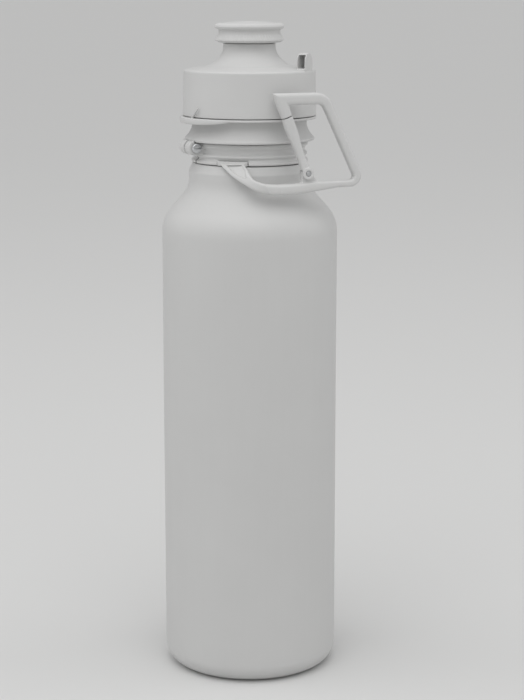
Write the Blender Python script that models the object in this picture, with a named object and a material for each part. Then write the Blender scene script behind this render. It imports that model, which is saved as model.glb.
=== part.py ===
"""A sports squeeze bottle with a screw cap, a pull nozzle and a swivelling clip handle.

The model stands on z = 0 with the bottle's axis on +Z, in metres. Azimuth angles are counted
from -Y, the front, towards +X. Heights that follow from one another are worked out below, so
that a changed size carries its neighbours with it.
"""

import math

import bmesh
import bpy
from mathutils import Matrix, Vector

MM = 0.001

# ---- driving dimensions -------------------------------------------------------------------

GAP = 0.3 * MM                      # free space kept between pieces that touch
EMBED = 0.4 * MM                    # how far a joined feature reaches into its wall
RUNNING = 0.4 * MM                  # radial and axial play of screw threads and swivels

BODY_RADIUS = 36.5 * MM
BODY_HEIGHT = 186.5 * MM            # height of the straight wall's top edge
BODY_WALL = 1.2 * MM
BASE_WALL = 1.6 * MM
BASE_FILLET = 7.9 * MM
BASE_GROOVE_RADIUS = 17.0 * MM      # stiffening groove under the base
BASE_GROOVE_WIDTH = 4.0 * MM
BASE_GROOVE_DEPTH = 0.7 * MM
SHOULDER_RISE = 23.0 * MM

NECK_RADIUS = 23.7 * MM             # outside of the threaded mouth
NECK_WALL = 1.7 * MM
STEM_STEP = 1.5 * MM                # the stem under the collar is this much wider than the mouth
STEM_HEIGHT = 2.9 * MM
STEM_CHAMFER = 3.0 * MM
COLLAR_SEAT_STEP = 2.3 * MM         # the collar's seat is this much narrower than the mouth
COLLAR_HEIGHT = 8.5 * MM
FLANGE_STEP = 3.1 * MM              # the flange is this much wider than the mouth
FLANGE_RIM = 1.1 * MM
FLANGE_TAPER = 6.0 * MM             # height over which the flange fades into the mouth
FINISH_HEIGHT = 18.1 * MM           # threaded mouth above the flange's taper
MOUTH_CHAMFER = 0.4 * MM

THREAD_PITCH = 4.0 * MM
THREAD_DEPTH = 1.3 * MM
THREAD_TURNS = 1.5
THREAD_ROOT = 1.8 * MM              # width at the wall
THREAD_CREST = 0.9 * MM
THREAD_START = 3.6 * MM             # lowest turn of the neck's thread above the cap's lower edge
THREAD_RUNOUT = 0.25                # share of a turn over which a thread fades out
THREAD_PHASE = 0.37                 # keeps the thread's corners off the wall's, in steps

RING_THICKNESS = 1.1 * MM
RING_LIFT = 1.7 * MM                # ring above the flange's taper
RING_STANDS_PROUD = 0.15 * MM       # ring's rim beyond the cap's
RING_REACH = 1.6 * MM               # the tab stands this much further out than the cap
RING_TAB_DEPTH = 2.6 * MM
RING_TAB_AZIMUTH = -62.0
RING_TAB_SPAN = 88.0
RING_TAB_FULLNESS = 0.6             # a smaller number makes a fuller tab
RING_TAIL_AZIMUTH = -56.0           # foot of the tail
RING_TAIL_RISE = 4.4 * MM
RING_TAIL_LEAN = 10.0               # degrees of azimuth that the tail leans over
RING_TAIL_SIZE = 1.1 * MM

CAP_WALL = 2.25 * MM
CAP_DRAFT = 0.45 * MM               # the skirt narrows this much towards its top
CAP_ROUNDING = 1.2 * MM
CAP_TOP_THICKNESS = 1.9 * MM
CAP_TOP_SLOPE = 1.2 * MM
GASKET_THICKNESS = 1.2 * MM
GASKET_WIDTH = 4.0 * MM
TRUMPET_START = 19.6 * MM           # radius where the spout's flare leaves the cap's top
TRUMPET_RISE = 8.2 * MM
TRUMPET_WALL = 2.3 * MM
SPOUT_LEDGE = 10.75 * MM
SPOUT_RADIUS = 9.0 * MM
SPOUT_BORE = 7.4 * MM
SPOUT_SILL = 0.9 * MM               # ledge in the bore that carries the pin
SPOUT_BEAD = 0.8 * MM
SPOUT_BEAD_HEIGHT = 0.7 * MM

LUG_AZIMUTH = 64.0
LUG_WIDTH = 7.0 * MM
LUG_HEIGHT = 7.0 * MM
LUG_THICKNESS = 3.9 * MM
LUG_INSET = 0.25 * MM               # lug's outer face in from the cap's side
LUG_WALL = 1.2 * MM                 # wall over, under and behind the lug's hollow
LUG_SIDE = 0.6 * MM                 # wall on each side of it

NOZZLE_TRAVEL = 4.0 * MM
NOZZLE_LIP = 1.0 * MM
NOZZLE_WALL = 1.1 * MM
NOZZLE_TOP = 2.2 * MM
NOZZLE_HOLE = 3.2 * MM
NOZZLE_DOME = 0.7 * MM
GRIP_WALL = 1.2 * MM
GRIP_LOWER_FLANGE = 1.4 * MM
GRIP_UPPER_FLANGE = 1.7 * MM

PIN_LIFT = 5.9 * MM                 # the pin's seat above the cap's top
PIN_POST = 2.2 * MM
PIN_RING_HEIGHT = 1.6 * MM
PIN_RING_WALL = 1.2 * MM
PIN_SPOKES = 3
PIN_SPOKE_WIDTH = 1.6 * MM

COLLAR_WALL = 2.4 * MM              # from the collar's bore to its ribs
COLLAR_GROOVE = 1.3 * MM
EAR_AZIMUTH = -66.0
EAR_SPLIT = 1.5 * MM
EAR_THICKNESS = 4.4 * MM
EAR_REACH = 5.1 * MM                # from the ribs to the outside of the ears
EAR_RADIUS = 3.196 * MM
SCREW_RADIUS = 1.1 * MM
SCREW_HEAD = 2.0 * MM
SCREW_HEAD_HEIGHT = 1.4 * MM
SCREW_SLOT = 0.6 * MM
NUT_ACROSS = 4.0 * MM
NUT_HEIGHT = 1.6 * MM

CLIP_AZIMUTH = 20.0
CLIP_CLEARANCE = 0.9 * MM           # between the clip's inner face and the ring's tab
CLIP_DEPTH = 4.2 * MM
CLIP_NOSE = 1.5 * MM                # sideways place of the nose's corner
CLIP_TOP_LENGTH = 18.7 * MM
CLIP_TOP_RISE = 27.3 * MM           # top bar above the collar's lower edge
CLIP_DROP = 7.1 * MM                # bottom bar below the collar's lower edge
CLIP_SPINE_LEAN = 25.2
CLIP_TOP_HALF = 2.4 * MM
CLIP_SPINE_HALF = 1.85 * MM
CLIP_FOOT_HALF = 1.15 * MM
CLIP_TOP_CORNER = 5.0 * MM
CLIP_FOOT_CORNER = 4.0 * MM
ARM_DROP = 8.8 * MM
ARM_HALF = 2.15 * MM
ARM_ROOT_THICKNESS = 2.0 * MM
SHOE_SPAN = 31.0                    # degrees of the collar that the arm's shoe takes
SHOE_AZIMUTH = -17.0
SHOE_HEIGHT = 1.9 * MM
SHOE_DEPTH = 1.4 * MM

PIVOT_ACROSS = 12.9 * MM            # sideways place of the gate's pivot
PIVOT_DROP = 2.5 * MM               # pivot below the collar's lower edge
PIVOT_PIN = 1.0 * MM
TONGUE_THICKNESS = 2.0 * MM
TONGUE_RADIUS = 2.1 * MM
GATE_LENGTH = 24.0 * MM
GATE_HALF = 2.15 * MM
GATE_SWELL = 0.7 * MM
GATE_KNUCKLE = 2.4 * MM
GATE_KNUCKLE_DEPTH = 5.0 * MM
GATE_CHANNEL_LENGTH = 13.0 * MM
SPRING_THICKNESS = 0.5 * MM

TURN_STEPS = 40
SMALL_TURN_STEPS = 20

# ---- sizes that follow --------------------------------------------------------------------

STEM_RADIUS = NECK_RADIUS + STEM_STEP
SEAT_RADIUS = NECK_RADIUS - COLLAR_SEAT_STEP
FLANGE_RADIUS = NECK_RADIUS + FLANGE_STEP
MOUTH_BORE = NECK_RADIUS - NECK_WALL
SEAT_BORE = SEAT_RADIUS - BODY_WALL - GAP

STEM_BASE_Z = BODY_HEIGHT + SHOULDER_RISE
STEM_TOP_Z = STEM_BASE_Z + STEM_HEIGHT + STEM_CHAMFER
SEAT_BASE_Z = STEM_TOP_Z + 0.6 * MM
COLLAR_BASE_Z = SEAT_BASE_Z + RUNNING
COLLAR_TOP_Z = COLLAR_BASE_Z + COLLAR_HEIGHT
FLANGE_Z = COLLAR_TOP_Z + RUNNING
TAPER_TOP_Z = FLANGE_Z + FLANGE_RIM + FLANGE_TAPER
MOUTH_Z = TAPER_TOP_Z + FINISH_HEIGHT

THREAD_CREST_RADIUS = NECK_RADIUS + THREAD_DEPTH
CAP_BORE = THREAD_CREST_RADIUS + RUNNING
CAP_RADIUS = CAP_BORE + CAP_WALL
RING_BORE = NECK_RADIUS + GAP
RING_RADIUS = CAP_RADIUS + RING_STANDS_PROUD
RING_BASE_Z = TAPER_TOP_Z + RING_LIFT
RING_TOP_Z = RING_BASE_Z + RING_THICKNESS
CAP_BASE_Z = RING_TOP_Z + GAP
GASKET_Z = MOUTH_Z + GAP
CAP_CEILING_Z = GASKET_Z + GASKET_THICKNESS + GAP
CAP_SHOULDER_Z = CAP_CEILING_Z + CAP_TOP_THICKNESS
CAP_TOP_Z = CAP_SHOULDER_Z + CAP_TOP_SLOPE
SPOUT_LEDGE_Z = CAP_TOP_Z + TRUMPET_RISE + 1.2 * MM

NOZZLE_BASE_Z = SPOUT_LEDGE_Z + GAP
SPOUT_BEAD_Z = NOZZLE_BASE_Z + NOZZLE_LIP + NOZZLE_TRAVEL + GAP
SPOUT_TOP_Z = SPOUT_BEAD_Z + SPOUT_BEAD_HEIGHT
NOZZLE_CEILING_Z = SPOUT_TOP_Z + GAP
NOZZLE_LIP_BORE = SPOUT_RADIUS + GAP
NOZZLE_BORE = SPOUT_RADIUS + SPOUT_BEAD + GAP
NOZZLE_RADIUS = NOZZLE_BORE + NOZZLE_WALL
NOZZLE_TOP_Z = NOZZLE_CEILING_Z + NOZZLE_TOP
GRIP_BORE = NOZZLE_RADIUS + GAP
GRIP_WAIST = GRIP_BORE + GRIP_WALL
PIN_SEAT_Z = CAP_TOP_Z + PIN_LIFT
PIN_BASE_Z = PIN_SEAT_Z + GAP
PIN_HEAD = NOZZLE_HOLE - GAP

COLLAR_BORE = SEAT_RADIUS + RUNNING
COLLAR_RADIUS = COLLAR_BORE + COLLAR_WALL
SHOE_BORE = COLLAR_RADIUS - SHOE_DEPTH + GAP
SHOE_BASE_Z = COLLAR_BASE_Z - 0.1 * MM
EAR_CENTRE = COLLAR_RADIUS + EAR_REACH - EAR_RADIUS
EAR_Z = COLLAR_TOP_Z - SCREW_HEAD + 0.1 * MM
TAB_RADIUS = CAP_RADIUS + RING_REACH
CLIP_OFFSET = TAB_RADIUS + CLIP_CLEARANCE + CLIP_DEPTH / 2
PIVOT_Z = COLLAR_BASE_Z - PIVOT_DROP
PIVOT_HOLE = PIVOT_PIN + GAP

# ---- materials ----------------------------------------------------------------------------

SOFT_WHITE = (0.60, 0.60, 0.60)
WARM_WHITE = (0.66, 0.66, 0.66)
RUBBER_GREY = (0.56, 0.56, 0.56)
STEEL_GREY = (0.55, 0.56, 0.58)


def material(name, colour, roughness, metallic=0.0):
    """A Principled material with one colour."""
    made = bpy.data.materials.new(name)
    made.use_nodes = True
    shader = made.node_tree.nodes["Principled BSDF"]
    shader.inputs["Base Color"].default_value = (*colour, 1.0)
    shader.inputs["Roughness"].default_value = roughness
    shader.inputs["Metallic"].default_value = metallic
    made.diffuse_color = (*colour, 1.0)
    return made


# ---- modelling helpers --------------------------------------------------------------------

def clear_scene():
    """Removes every object of the open scene."""
    for old in list(bpy.data.objects):
        bpy.data.objects.remove(old, do_unlink=True)


def mesh_object(name, bm, smooth_angle=35.0):
    """Turns a bmesh into an object with smooth faces and crisp edges."""
    bmesh.ops.recalc_face_normals(bm, faces=bm.faces)
    mesh = bpy.data.meshes.new(name)
    bm.to_mesh(mesh)
    bm.free()
    mesh.shade_smooth()
    mesh.set_sharp_from_angle(angle=math.radians(smooth_angle))
    made = bpy.data.objects.new(name, mesh)
    bpy.context.scene.collection.objects.link(made)
    return made


def turned(name, profile, steps=TURN_STEPS):
    """Spins a profile of (radius, height) points about Z; a closed profile repeats its first point."""
    bm = bmesh.new()
    points = profile[:-1] if profile[0] == profile[-1] else profile
    verts = [bm.verts.new((radius, 0.0, height)) for radius, height in points]
    edges = [bm.edges.new(pair) for pair in zip(verts, verts[1:])]
    if profile[0] == profile[-1]:
        edges.append(bm.edges.new((verts[-1], verts[0])))
    bmesh.ops.spin(bm, geom=verts + edges, axis=(0, 0, 1), cent=(0, 0, 0),
                   angle=math.tau, steps=steps, use_merge=True)
    bmesh.ops.remove_doubles(bm, verts=bm.verts, dist=1e-7)
    return mesh_object(name, bm)


def lofted(name, sections, ring=False):
    """Skins a row of equal loops of points, with end caps, or closed on itself as a ring."""
    bm = bmesh.new()
    loops = [[bm.verts.new(point) for point in section] for section in sections]
    pairs = list(zip(loops, loops[1:]))
    if ring:
        pairs.append((loops[-1], loops[0]))
    count = len(sections[0])
    for first, second in pairs:
        for i in range(count):
            j = (i + 1) % count
            bm.faces.new((first[i], first[j], second[j], second[i]))
    if not ring:
        bm.faces.new(loops[0])
        bm.faces.new(loops[-1])
    return mesh_object(name, bm)


def prism(name, outline, half_depth, frame):
    """Extrudes a flat outline to both sides of its plane and places it with a matrix."""
    bm = bmesh.new()
    base = bm.faces.new([bm.verts.new((x, y, -half_depth)) for x, y in outline])
    grown = bmesh.ops.extrude_face_region(bm, geom=[base])
    top = [item for item in grown["geom"] if isinstance(item, bmesh.types.BMVert)]
    bmesh.ops.translate(bm, verts=top, vec=(0, 0, 2 * half_depth))
    bmesh.ops.transform(bm, matrix=frame, verts=bm.verts)
    return mesh_object(name, bm)


def tool(made):
    """Marks an object as a cutter or a joined feature that isn't a piece by itself."""
    made.hide_render = True
    made.display_type = "WIRE"
    return made


def combine(target, other, operation):
    """Adds a Boolean modifier that cuts or joins another object."""
    boolean = target.modifiers.new(operation.title(), "BOOLEAN")
    boolean.operation = operation
    boolean.solver = "EXACT"
    boolean.object = tool(other)
    return target


def arc(centre, radius, start, end, steps):
    """Points on an arc in the profile plane; angles in degrees from the outward radius."""
    angles = [math.radians(start + (end - start) * i / steps) for i in range(steps + 1)]
    return [(centre[0] + radius * math.cos(a), centre[1] + radius * math.sin(a)) for a in angles]


def bezier(start, pull_start, pull_end, end, steps):
    """Points on a cubic curve between two ends with one pull point each."""
    points = []
    for i in range(steps + 1):
        t = i / steps
        weights = ((1 - t) ** 3, 3 * t * (1 - t) ** 2, 3 * t * t * (1 - t), t ** 3)
        corners = (start, pull_start, pull_end, end)
        points.append(tuple(sum(w * c[k] for w, c in zip(weights, corners)) for k in (0, 1)))
    return points


def through(points, steps):
    """Points on a smooth curve through the given ones, with a few steps between each two."""
    ends = [points[0]] + list(points) + [points[-1]]
    curve = []
    for a, b, c, d in zip(ends, ends[1:], ends[2:], ends[3:]):
        for i in range(steps):
            t = i / steps
            curve.append(0.5 * (2 * b + (c - a) * t + (2 * a - 5 * b + 4 * c - d) * t * t
                                + (3 * b - a - 3 * c + d) * t ** 3))
    curve.append(points[-1])
    return curve


def around(azimuth, radius, height):
    """The point at an azimuth from the front, a radius and a height."""
    angle = math.radians(azimuth)
    return Vector((radius * math.sin(angle), -radius * math.cos(angle), height))


def radial_frame(azimuth, radius, height):
    """A frame at a point: its X runs along the tangent, its Y up and its Z outwards."""
    out = around(azimuth, 1.0, 0.0)
    tangent = Vector((math.cos(math.radians(azimuth)), math.sin(math.radians(azimuth)), 0.0))
    turn = Matrix((tangent, Vector((0, 0, 1)), out)).transposed().to_4x4()
    return Matrix.Translation(around(azimuth, radius, height)) @ turn


def helix(name, wall, crest, first_z, direction):
    """A right-hand thread on a wall, fading into it at both ends; direction is +1 outwards."""
    steps = round(THREAD_TURNS * TURN_STEPS)
    fade = THREAD_RUNOUT * TURN_STEPS
    root = wall - direction * EMBED
    sections = []
    for i in range(steps + 1):
        angle = math.tau * (i + THREAD_PHASE) / TURN_STEPS
        strength = min(1.0, i / fade, (steps - i) / fade)
        tip = (wall - direction * EMBED / 2) * (1 - strength) + crest * strength
        z = first_z + THREAD_PITCH * (i + THREAD_PHASE) / TURN_STEPS
        corners = ((root, -THREAD_ROOT / 2), (tip, -THREAD_CREST / 2),
                   (tip, THREAD_CREST / 2), (root, THREAD_ROOT / 2))
        sections.append([(r * math.cos(angle), r * math.sin(angle), z + up) for r, up in corners])
    return lofted(name, sections)


# ---- the bottle ---------------------------------------------------------------------------

def bottle_body():
    """The blown bottle: flat base, straight wall, shoulder, collar seat, flange, threaded mouth."""
    groove = BASE_GROOVE_RADIUS
    foot = BODY_RADIUS - BASE_FILLET
    outside = [(0.0, 0.0), (groove - BASE_GROOVE_WIDTH / 2, 0.0),
               (groove - BASE_GROOVE_WIDTH / 4, BASE_GROOVE_DEPTH),
               (groove + BASE_GROOVE_WIDTH / 4, BASE_GROOVE_DEPTH),
               (groove + BASE_GROOVE_WIDTH / 2, 0.0)]
    outside += arc((foot, BASE_FILLET), BASE_FILLET, -90, 0, 5)
    outside += bezier((BODY_RADIUS, BODY_HEIGHT), (BODY_RADIUS, BODY_HEIGHT + 0.55 * SHOULDER_RISE),
                      (STEM_RADIUS, STEM_BASE_Z - 0.41 * SHOULDER_RISE),
                      (STEM_RADIUS, STEM_BASE_Z), 9)
    outside += [(STEM_RADIUS, STEM_BASE_Z + STEM_HEIGHT), (NECK_RADIUS + GAP, STEM_TOP_Z),
                (NECK_RADIUS, SEAT_BASE_Z), (SEAT_RADIUS, SEAT_BASE_Z), (SEAT_RADIUS, FLANGE_Z),
                (FLANGE_RADIUS, FLANGE_Z), (FLANGE_RADIUS, FLANGE_Z + FLANGE_RIM)]
    outside += bezier((FLANGE_RADIUS, FLANGE_Z + FLANGE_RIM),
                      (NECK_RADIUS + 0.3 * FLANGE_STEP, FLANGE_Z + FLANGE_RIM + 0.3 * FLANGE_TAPER),
                      (NECK_RADIUS, TAPER_TOP_Z - 0.3 * FLANGE_TAPER),
                      (NECK_RADIUS, TAPER_TOP_Z), 4)[1:]
    outside += [(NECK_RADIUS, MOUTH_Z - MOUTH_CHAMFER), (NECK_RADIUS - MOUTH_CHAMFER, MOUTH_Z)]
    stem_bore = STEM_RADIUS - BODY_WALL - GAP
    inner = BODY_RADIUS - BODY_WALL
    inside = [(MOUTH_BORE, MOUTH_Z), (MOUTH_BORE, TAPER_TOP_Z - 0.5 * FLANGE_TAPER),
              (SEAT_BORE, FLANGE_Z), (SEAT_BORE, SEAT_BASE_Z - STEM_CHAMFER / 2),
              (stem_bore, STEM_BASE_Z)]
    inside += bezier((stem_bore, STEM_BASE_Z), (stem_bore, STEM_BASE_Z - 0.41 * SHOULDER_RISE),
                     (inner, BODY_HEIGHT + 0.55 * SHOULDER_RISE - BODY_WALL),
                     (inner, BODY_HEIGHT - BODY_WALL), 7)[1:]
    bottom = arc((foot, BASE_FILLET), BASE_FILLET - BODY_WALL, 0, -78, 4)
    inside += bottom + [(bottom[-1][0] - BASE_WALL, BASE_WALL), (0.0, BASE_WALL)]
    body = turned("bottle_body", outside + inside)
    thread = helix("neck_thread", NECK_RADIUS, THREAD_CREST_RADIUS, CAP_BASE_Z + THREAD_START, 1)
    return combine(body, thread, "UNION")


# ---- the cap ------------------------------------------------------------------------------

def lug():
    """The arched lug that stands on the cap's edge, hollowed from one end like a hood."""
    half = LUG_WIDTH / 2
    spring = LUG_HEIGHT - half
    hollow = half - LUG_WALL
    outer = CAP_RADIUS - CAP_DRAFT - LUG_INSET
    place = radial_frame(LUG_AZIMUTH, outer - LUG_THICKNESS / 2, CAP_SHOULDER_Z)
    outline = [(-half, -CAP_ROUNDING), (half, -CAP_ROUNDING)] + arc((0.0, spring), half, 0, 180, 8)
    body = prism("lug_arch", outline, LUG_THICKNESS / 2, place)
    mouth = -half - LUG_WALL
    outline = [(mouth, LUG_WALL), (hollow, LUG_WALL)] + arc((0.0, spring), hollow, 0, 90, 5)
    outline += [(mouth, spring + hollow)]
    pocket = prism("lug_hollow", outline, LUG_THICKNESS / 2 - LUG_SIDE, place)
    return combine(body, pocket, "DIFFERENCE")


def cap_shell():
    """The screw cap: threaded skirt, sloping top, flared spout and the tube that the nozzle rides."""
    shoulder = CAP_RADIUS - CAP_DRAFT
    rim = shoulder - CAP_ROUNDING / 2
    flare = TRUMPET_START
    outside = [(CAP_RADIUS, CAP_BASE_Z), (shoulder, CAP_SHOULDER_Z - CAP_ROUNDING),
               (shoulder - 0.15 * CAP_ROUNDING, CAP_SHOULDER_Z - 0.4 * CAP_ROUNDING),
               (rim, CAP_SHOULDER_Z)]
    outside += bezier((flare, CAP_TOP_Z), (flare - 3.6 * MM, CAP_TOP_Z),
                      (SPOUT_LEDGE, CAP_TOP_Z + 0.44 * TRUMPET_RISE),
                      (SPOUT_LEDGE, CAP_TOP_Z + TRUMPET_RISE), 8)
    outside += [(SPOUT_LEDGE, SPOUT_LEDGE_Z), (SPOUT_RADIUS, SPOUT_LEDGE_Z),
                (SPOUT_RADIUS, SPOUT_BEAD_Z), (SPOUT_RADIUS + SPOUT_BEAD, SPOUT_BEAD_Z),
                (SPOUT_RADIUS + SPOUT_BEAD, SPOUT_TOP_Z - MOUTH_CHAMFER),
                (SPOUT_RADIUS + SPOUT_BEAD - MOUTH_CHAMFER, SPOUT_TOP_Z)]
    sill = SPOUT_BORE - SPOUT_SILL
    wide = flare - TRUMPET_WALL / 2
    inside = [(SPOUT_BORE, SPOUT_TOP_Z), (SPOUT_BORE, PIN_SEAT_Z), (sill, PIN_SEAT_Z)]
    inside += bezier((sill, PIN_SEAT_Z - SPOUT_SILL), (sill + 0.6 * MM, CAP_TOP_Z + 1.4 * MM),
                     (wide - 3.0 * MM, CAP_TOP_Z - TRUMPET_WALL),
                     (wide, CAP_TOP_Z - TRUMPET_WALL), 5)
    inside += [(flare + 0.6 * MM, CAP_CEILING_Z), (CAP_BORE, CAP_CEILING_Z), (CAP_BORE, CAP_BASE_Z),
               (CAP_RADIUS, CAP_BASE_Z)]
    shell = turned("cap_shell", outside + inside)
    first_z = CAP_BASE_Z + THREAD_START - THREAD_PITCH / 2
    thread = helix("cap_thread", CAP_BORE, NECK_RADIUS + RUNNING, first_z, -1)
    combine(shell, thread, "UNION")
    return combine(shell, lug(), "UNION")


def cap_gasket():
    """The flat sealing ring between the bottle's mouth and the cap."""
    outer = CAP_BORE - RUNNING
    inner = outer - GASKET_WIDTH
    top = GASKET_Z + GASKET_THICKNESS
    return turned("cap_gasket", [(outer, GASKET_Z), (outer, top), (inner, top), (inner, GASKET_Z),
                                 (outer, GASKET_Z)])


def spout_pin():
    """The pin on three spokes whose head plugs the nozzle's hole."""
    ring_top = PIN_BASE_Z + PIN_RING_HEIGHT
    tip = NOZZLE_TOP_Z - 0.3 * MM
    neck = NOZZLE_CEILING_Z - 1.2 * MM
    pin = turned("spout_pin", [(0.0, PIN_BASE_Z), (PIN_POST, PIN_BASE_Z), (PIN_POST, neck),
                               (PIN_HEAD, neck + (PIN_HEAD - PIN_POST)),
                               (PIN_HEAD, tip - MOUTH_CHAMFER), (PIN_HEAD - MOUTH_CHAMFER, tip),
                               (0.0, tip)], SMALL_TURN_STEPS)
    outer = SPOUT_BORE - GAP
    inner = outer - PIN_RING_WALL
    ring = turned("pin_ring", [(outer, PIN_BASE_Z), (outer, ring_top), (inner, ring_top),
                               (inner, PIN_BASE_Z), (outer, PIN_BASE_Z)], SMALL_TURN_STEPS)
    combine(pin, ring, "UNION")
    reach = (inner + PIN_RING_WALL / 2) / 2
    half = PIN_SPOKE_WIDTH / 2
    inset = 0.15 * MM
    for i in range(PIN_SPOKES):
        azimuth = 360.0 / PIN_SPOKES * i
        frame = radial_frame(azimuth, reach, PIN_BASE_Z + PIN_RING_HEIGHT / 2)
        high = PIN_RING_HEIGHT / 2 - inset
        outline = [(-half, -high), (half, -high), (half, high), (-half, high)]
        combine(pin, prism(f"pin_spoke_{i + 1}", outline, reach, frame), "UNION")
    return pin


# ---- the nozzle ---------------------------------------------------------------------------

def nozzle_core():
    """The hard pull nozzle: a cup with a hole in its top that rides over the spout's tube."""
    dome = [(NOZZLE_HOLE, NOZZLE_TOP_Z - MOUTH_CHAMFER), (NOZZLE_HOLE + MOUTH_CHAMFER, NOZZLE_TOP_Z)]
    rim_z = NOZZLE_TOP_Z - NOZZLE_DOME
    dome += [(0.55 * NOZZLE_RADIUS, NOZZLE_TOP_Z - 0.05 * NOZZLE_DOME),
             (0.8 * NOZZLE_RADIUS, NOZZLE_TOP_Z - 0.4 * NOZZLE_DOME), (NOZZLE_RADIUS, rim_z)]
    lip_z = NOZZLE_BASE_Z + NOZZLE_LIP
    profile = dome + [(NOZZLE_RADIUS, NOZZLE_BASE_Z), (NOZZLE_LIP_BORE, NOZZLE_BASE_Z),
                      (NOZZLE_LIP_BORE, lip_z), (NOZZLE_BORE, lip_z),
                      (NOZZLE_BORE, NOZZLE_CEILING_Z), (NOZZLE_HOLE, NOZZLE_CEILING_Z), dome[0]]
    return turned("nozzle_core", profile)


def nozzle_grip():
    """The soft sleeve on the nozzle, with a flange at its foot and a wider one at its top."""
    lower = GRIP_WAIST + GRIP_LOWER_FLANGE
    upper = GRIP_WAIST + GRIP_UPPER_FLANGE
    base = NOZZLE_BASE_Z
    top = NOZZLE_TOP_Z - NOZZLE_DOME
    profile = [(GRIP_BORE, base), (lower - 0.8 * MM, base), (lower, base + 0.6 * MM),
               (lower, base + 1.4 * MM), (GRIP_WAIST, base + 4.3 * MM),
               (GRIP_WAIST + 0.1 * MM, top - 2.6 * MM), (upper - 0.2 * MM, top - 2.0 * MM),
               (upper, top - 1.5 * MM), (upper - 0.3 * MM, top - 0.6 * MM),
               (upper - 1.3 * MM, top - 0.1 * MM), (GRIP_BORE, top), (GRIP_BORE, base)]
    return turned("nozzle_grip", profile)


# ---- the ring with the tab ----------------------------------------------------------------

def tab_ring():
    """The thin loose ring under the cap, with a long tab on one side and a slanting tail."""
    sections = []
    for i in range(TURN_STEPS + TURN_STEPS // 2):
        azimuth = RING_TAB_AZIMUTH + i * 360.0 / (TURN_STEPS + TURN_STEPS // 2)
        off = (azimuth - RING_TAB_AZIMUTH + 180.0) % 360.0 - 180.0
        swell = math.cos(math.radians(90.0 * min(1.0, abs(off) / (RING_TAB_SPAN / 2)))) ** RING_TAB_FULLNESS
        outer = RING_RADIUS + (TAB_RADIUS - RING_RADIUS) * swell
        low = RING_TOP_Z - RING_THICKNESS - (RING_TAB_DEPTH - RING_THICKNESS) * swell
        step = RING_RADIUS - 1.0 * MM
        section = [(RING_BORE, RING_TOP_Z), (step, RING_TOP_Z), (outer - 0.3 * MM, RING_TOP_Z),
                   (outer, (RING_TOP_Z + low) / 2), (outer - 0.3 * MM, low), (step, low),
                   (step - 1.2 * MM, RING_BASE_Z), (RING_BORE, RING_BASE_Z)]
        sections.append([around(azimuth, r, z) for r, z in section])
    ring = lofted("tab_ring", sections, ring=True)
    half = RING_TAIL_SIZE / 2
    middle = TAB_RADIUS - 0.2 * MM - half
    tail = []
    for i in range(5):
        t = i / 4
        azimuth = RING_TAIL_AZIMUTH + RING_TAIL_LEAN * t
        z = RING_TOP_Z - EMBED + (RING_TAIL_RISE + EMBED) * t
        size = half * (1.0 - 0.3 * t)
        frame = radial_frame(azimuth, middle, z)
        corners = ((-size, 0, -size), (size, 0, -size), (size, 0, size), (-size, 0, size))
        tail.append([frame @ Vector(corner) for corner in corners])
    return combine(ring, lofted("ring_tail", tail), "UNION")


# ---- the collar ---------------------------------------------------------------------------

def ear_frame(offset):
    """A frame on the screw's line: Z along the line, X outwards and Y up."""
    out = around(EAR_AZIMUTH, 1.0, 0.0)
    along = Vector((math.cos(math.radians(EAR_AZIMUTH)), math.sin(math.radians(EAR_AZIMUTH)), 0.0))
    turn = Matrix((out, Vector((0, 0, 1)), along)).transposed().to_4x4()
    centre = around(EAR_AZIMUTH, EAR_CENTRE, EAR_Z) + along * offset
    return Matrix.Translation(centre) @ turn


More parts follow.
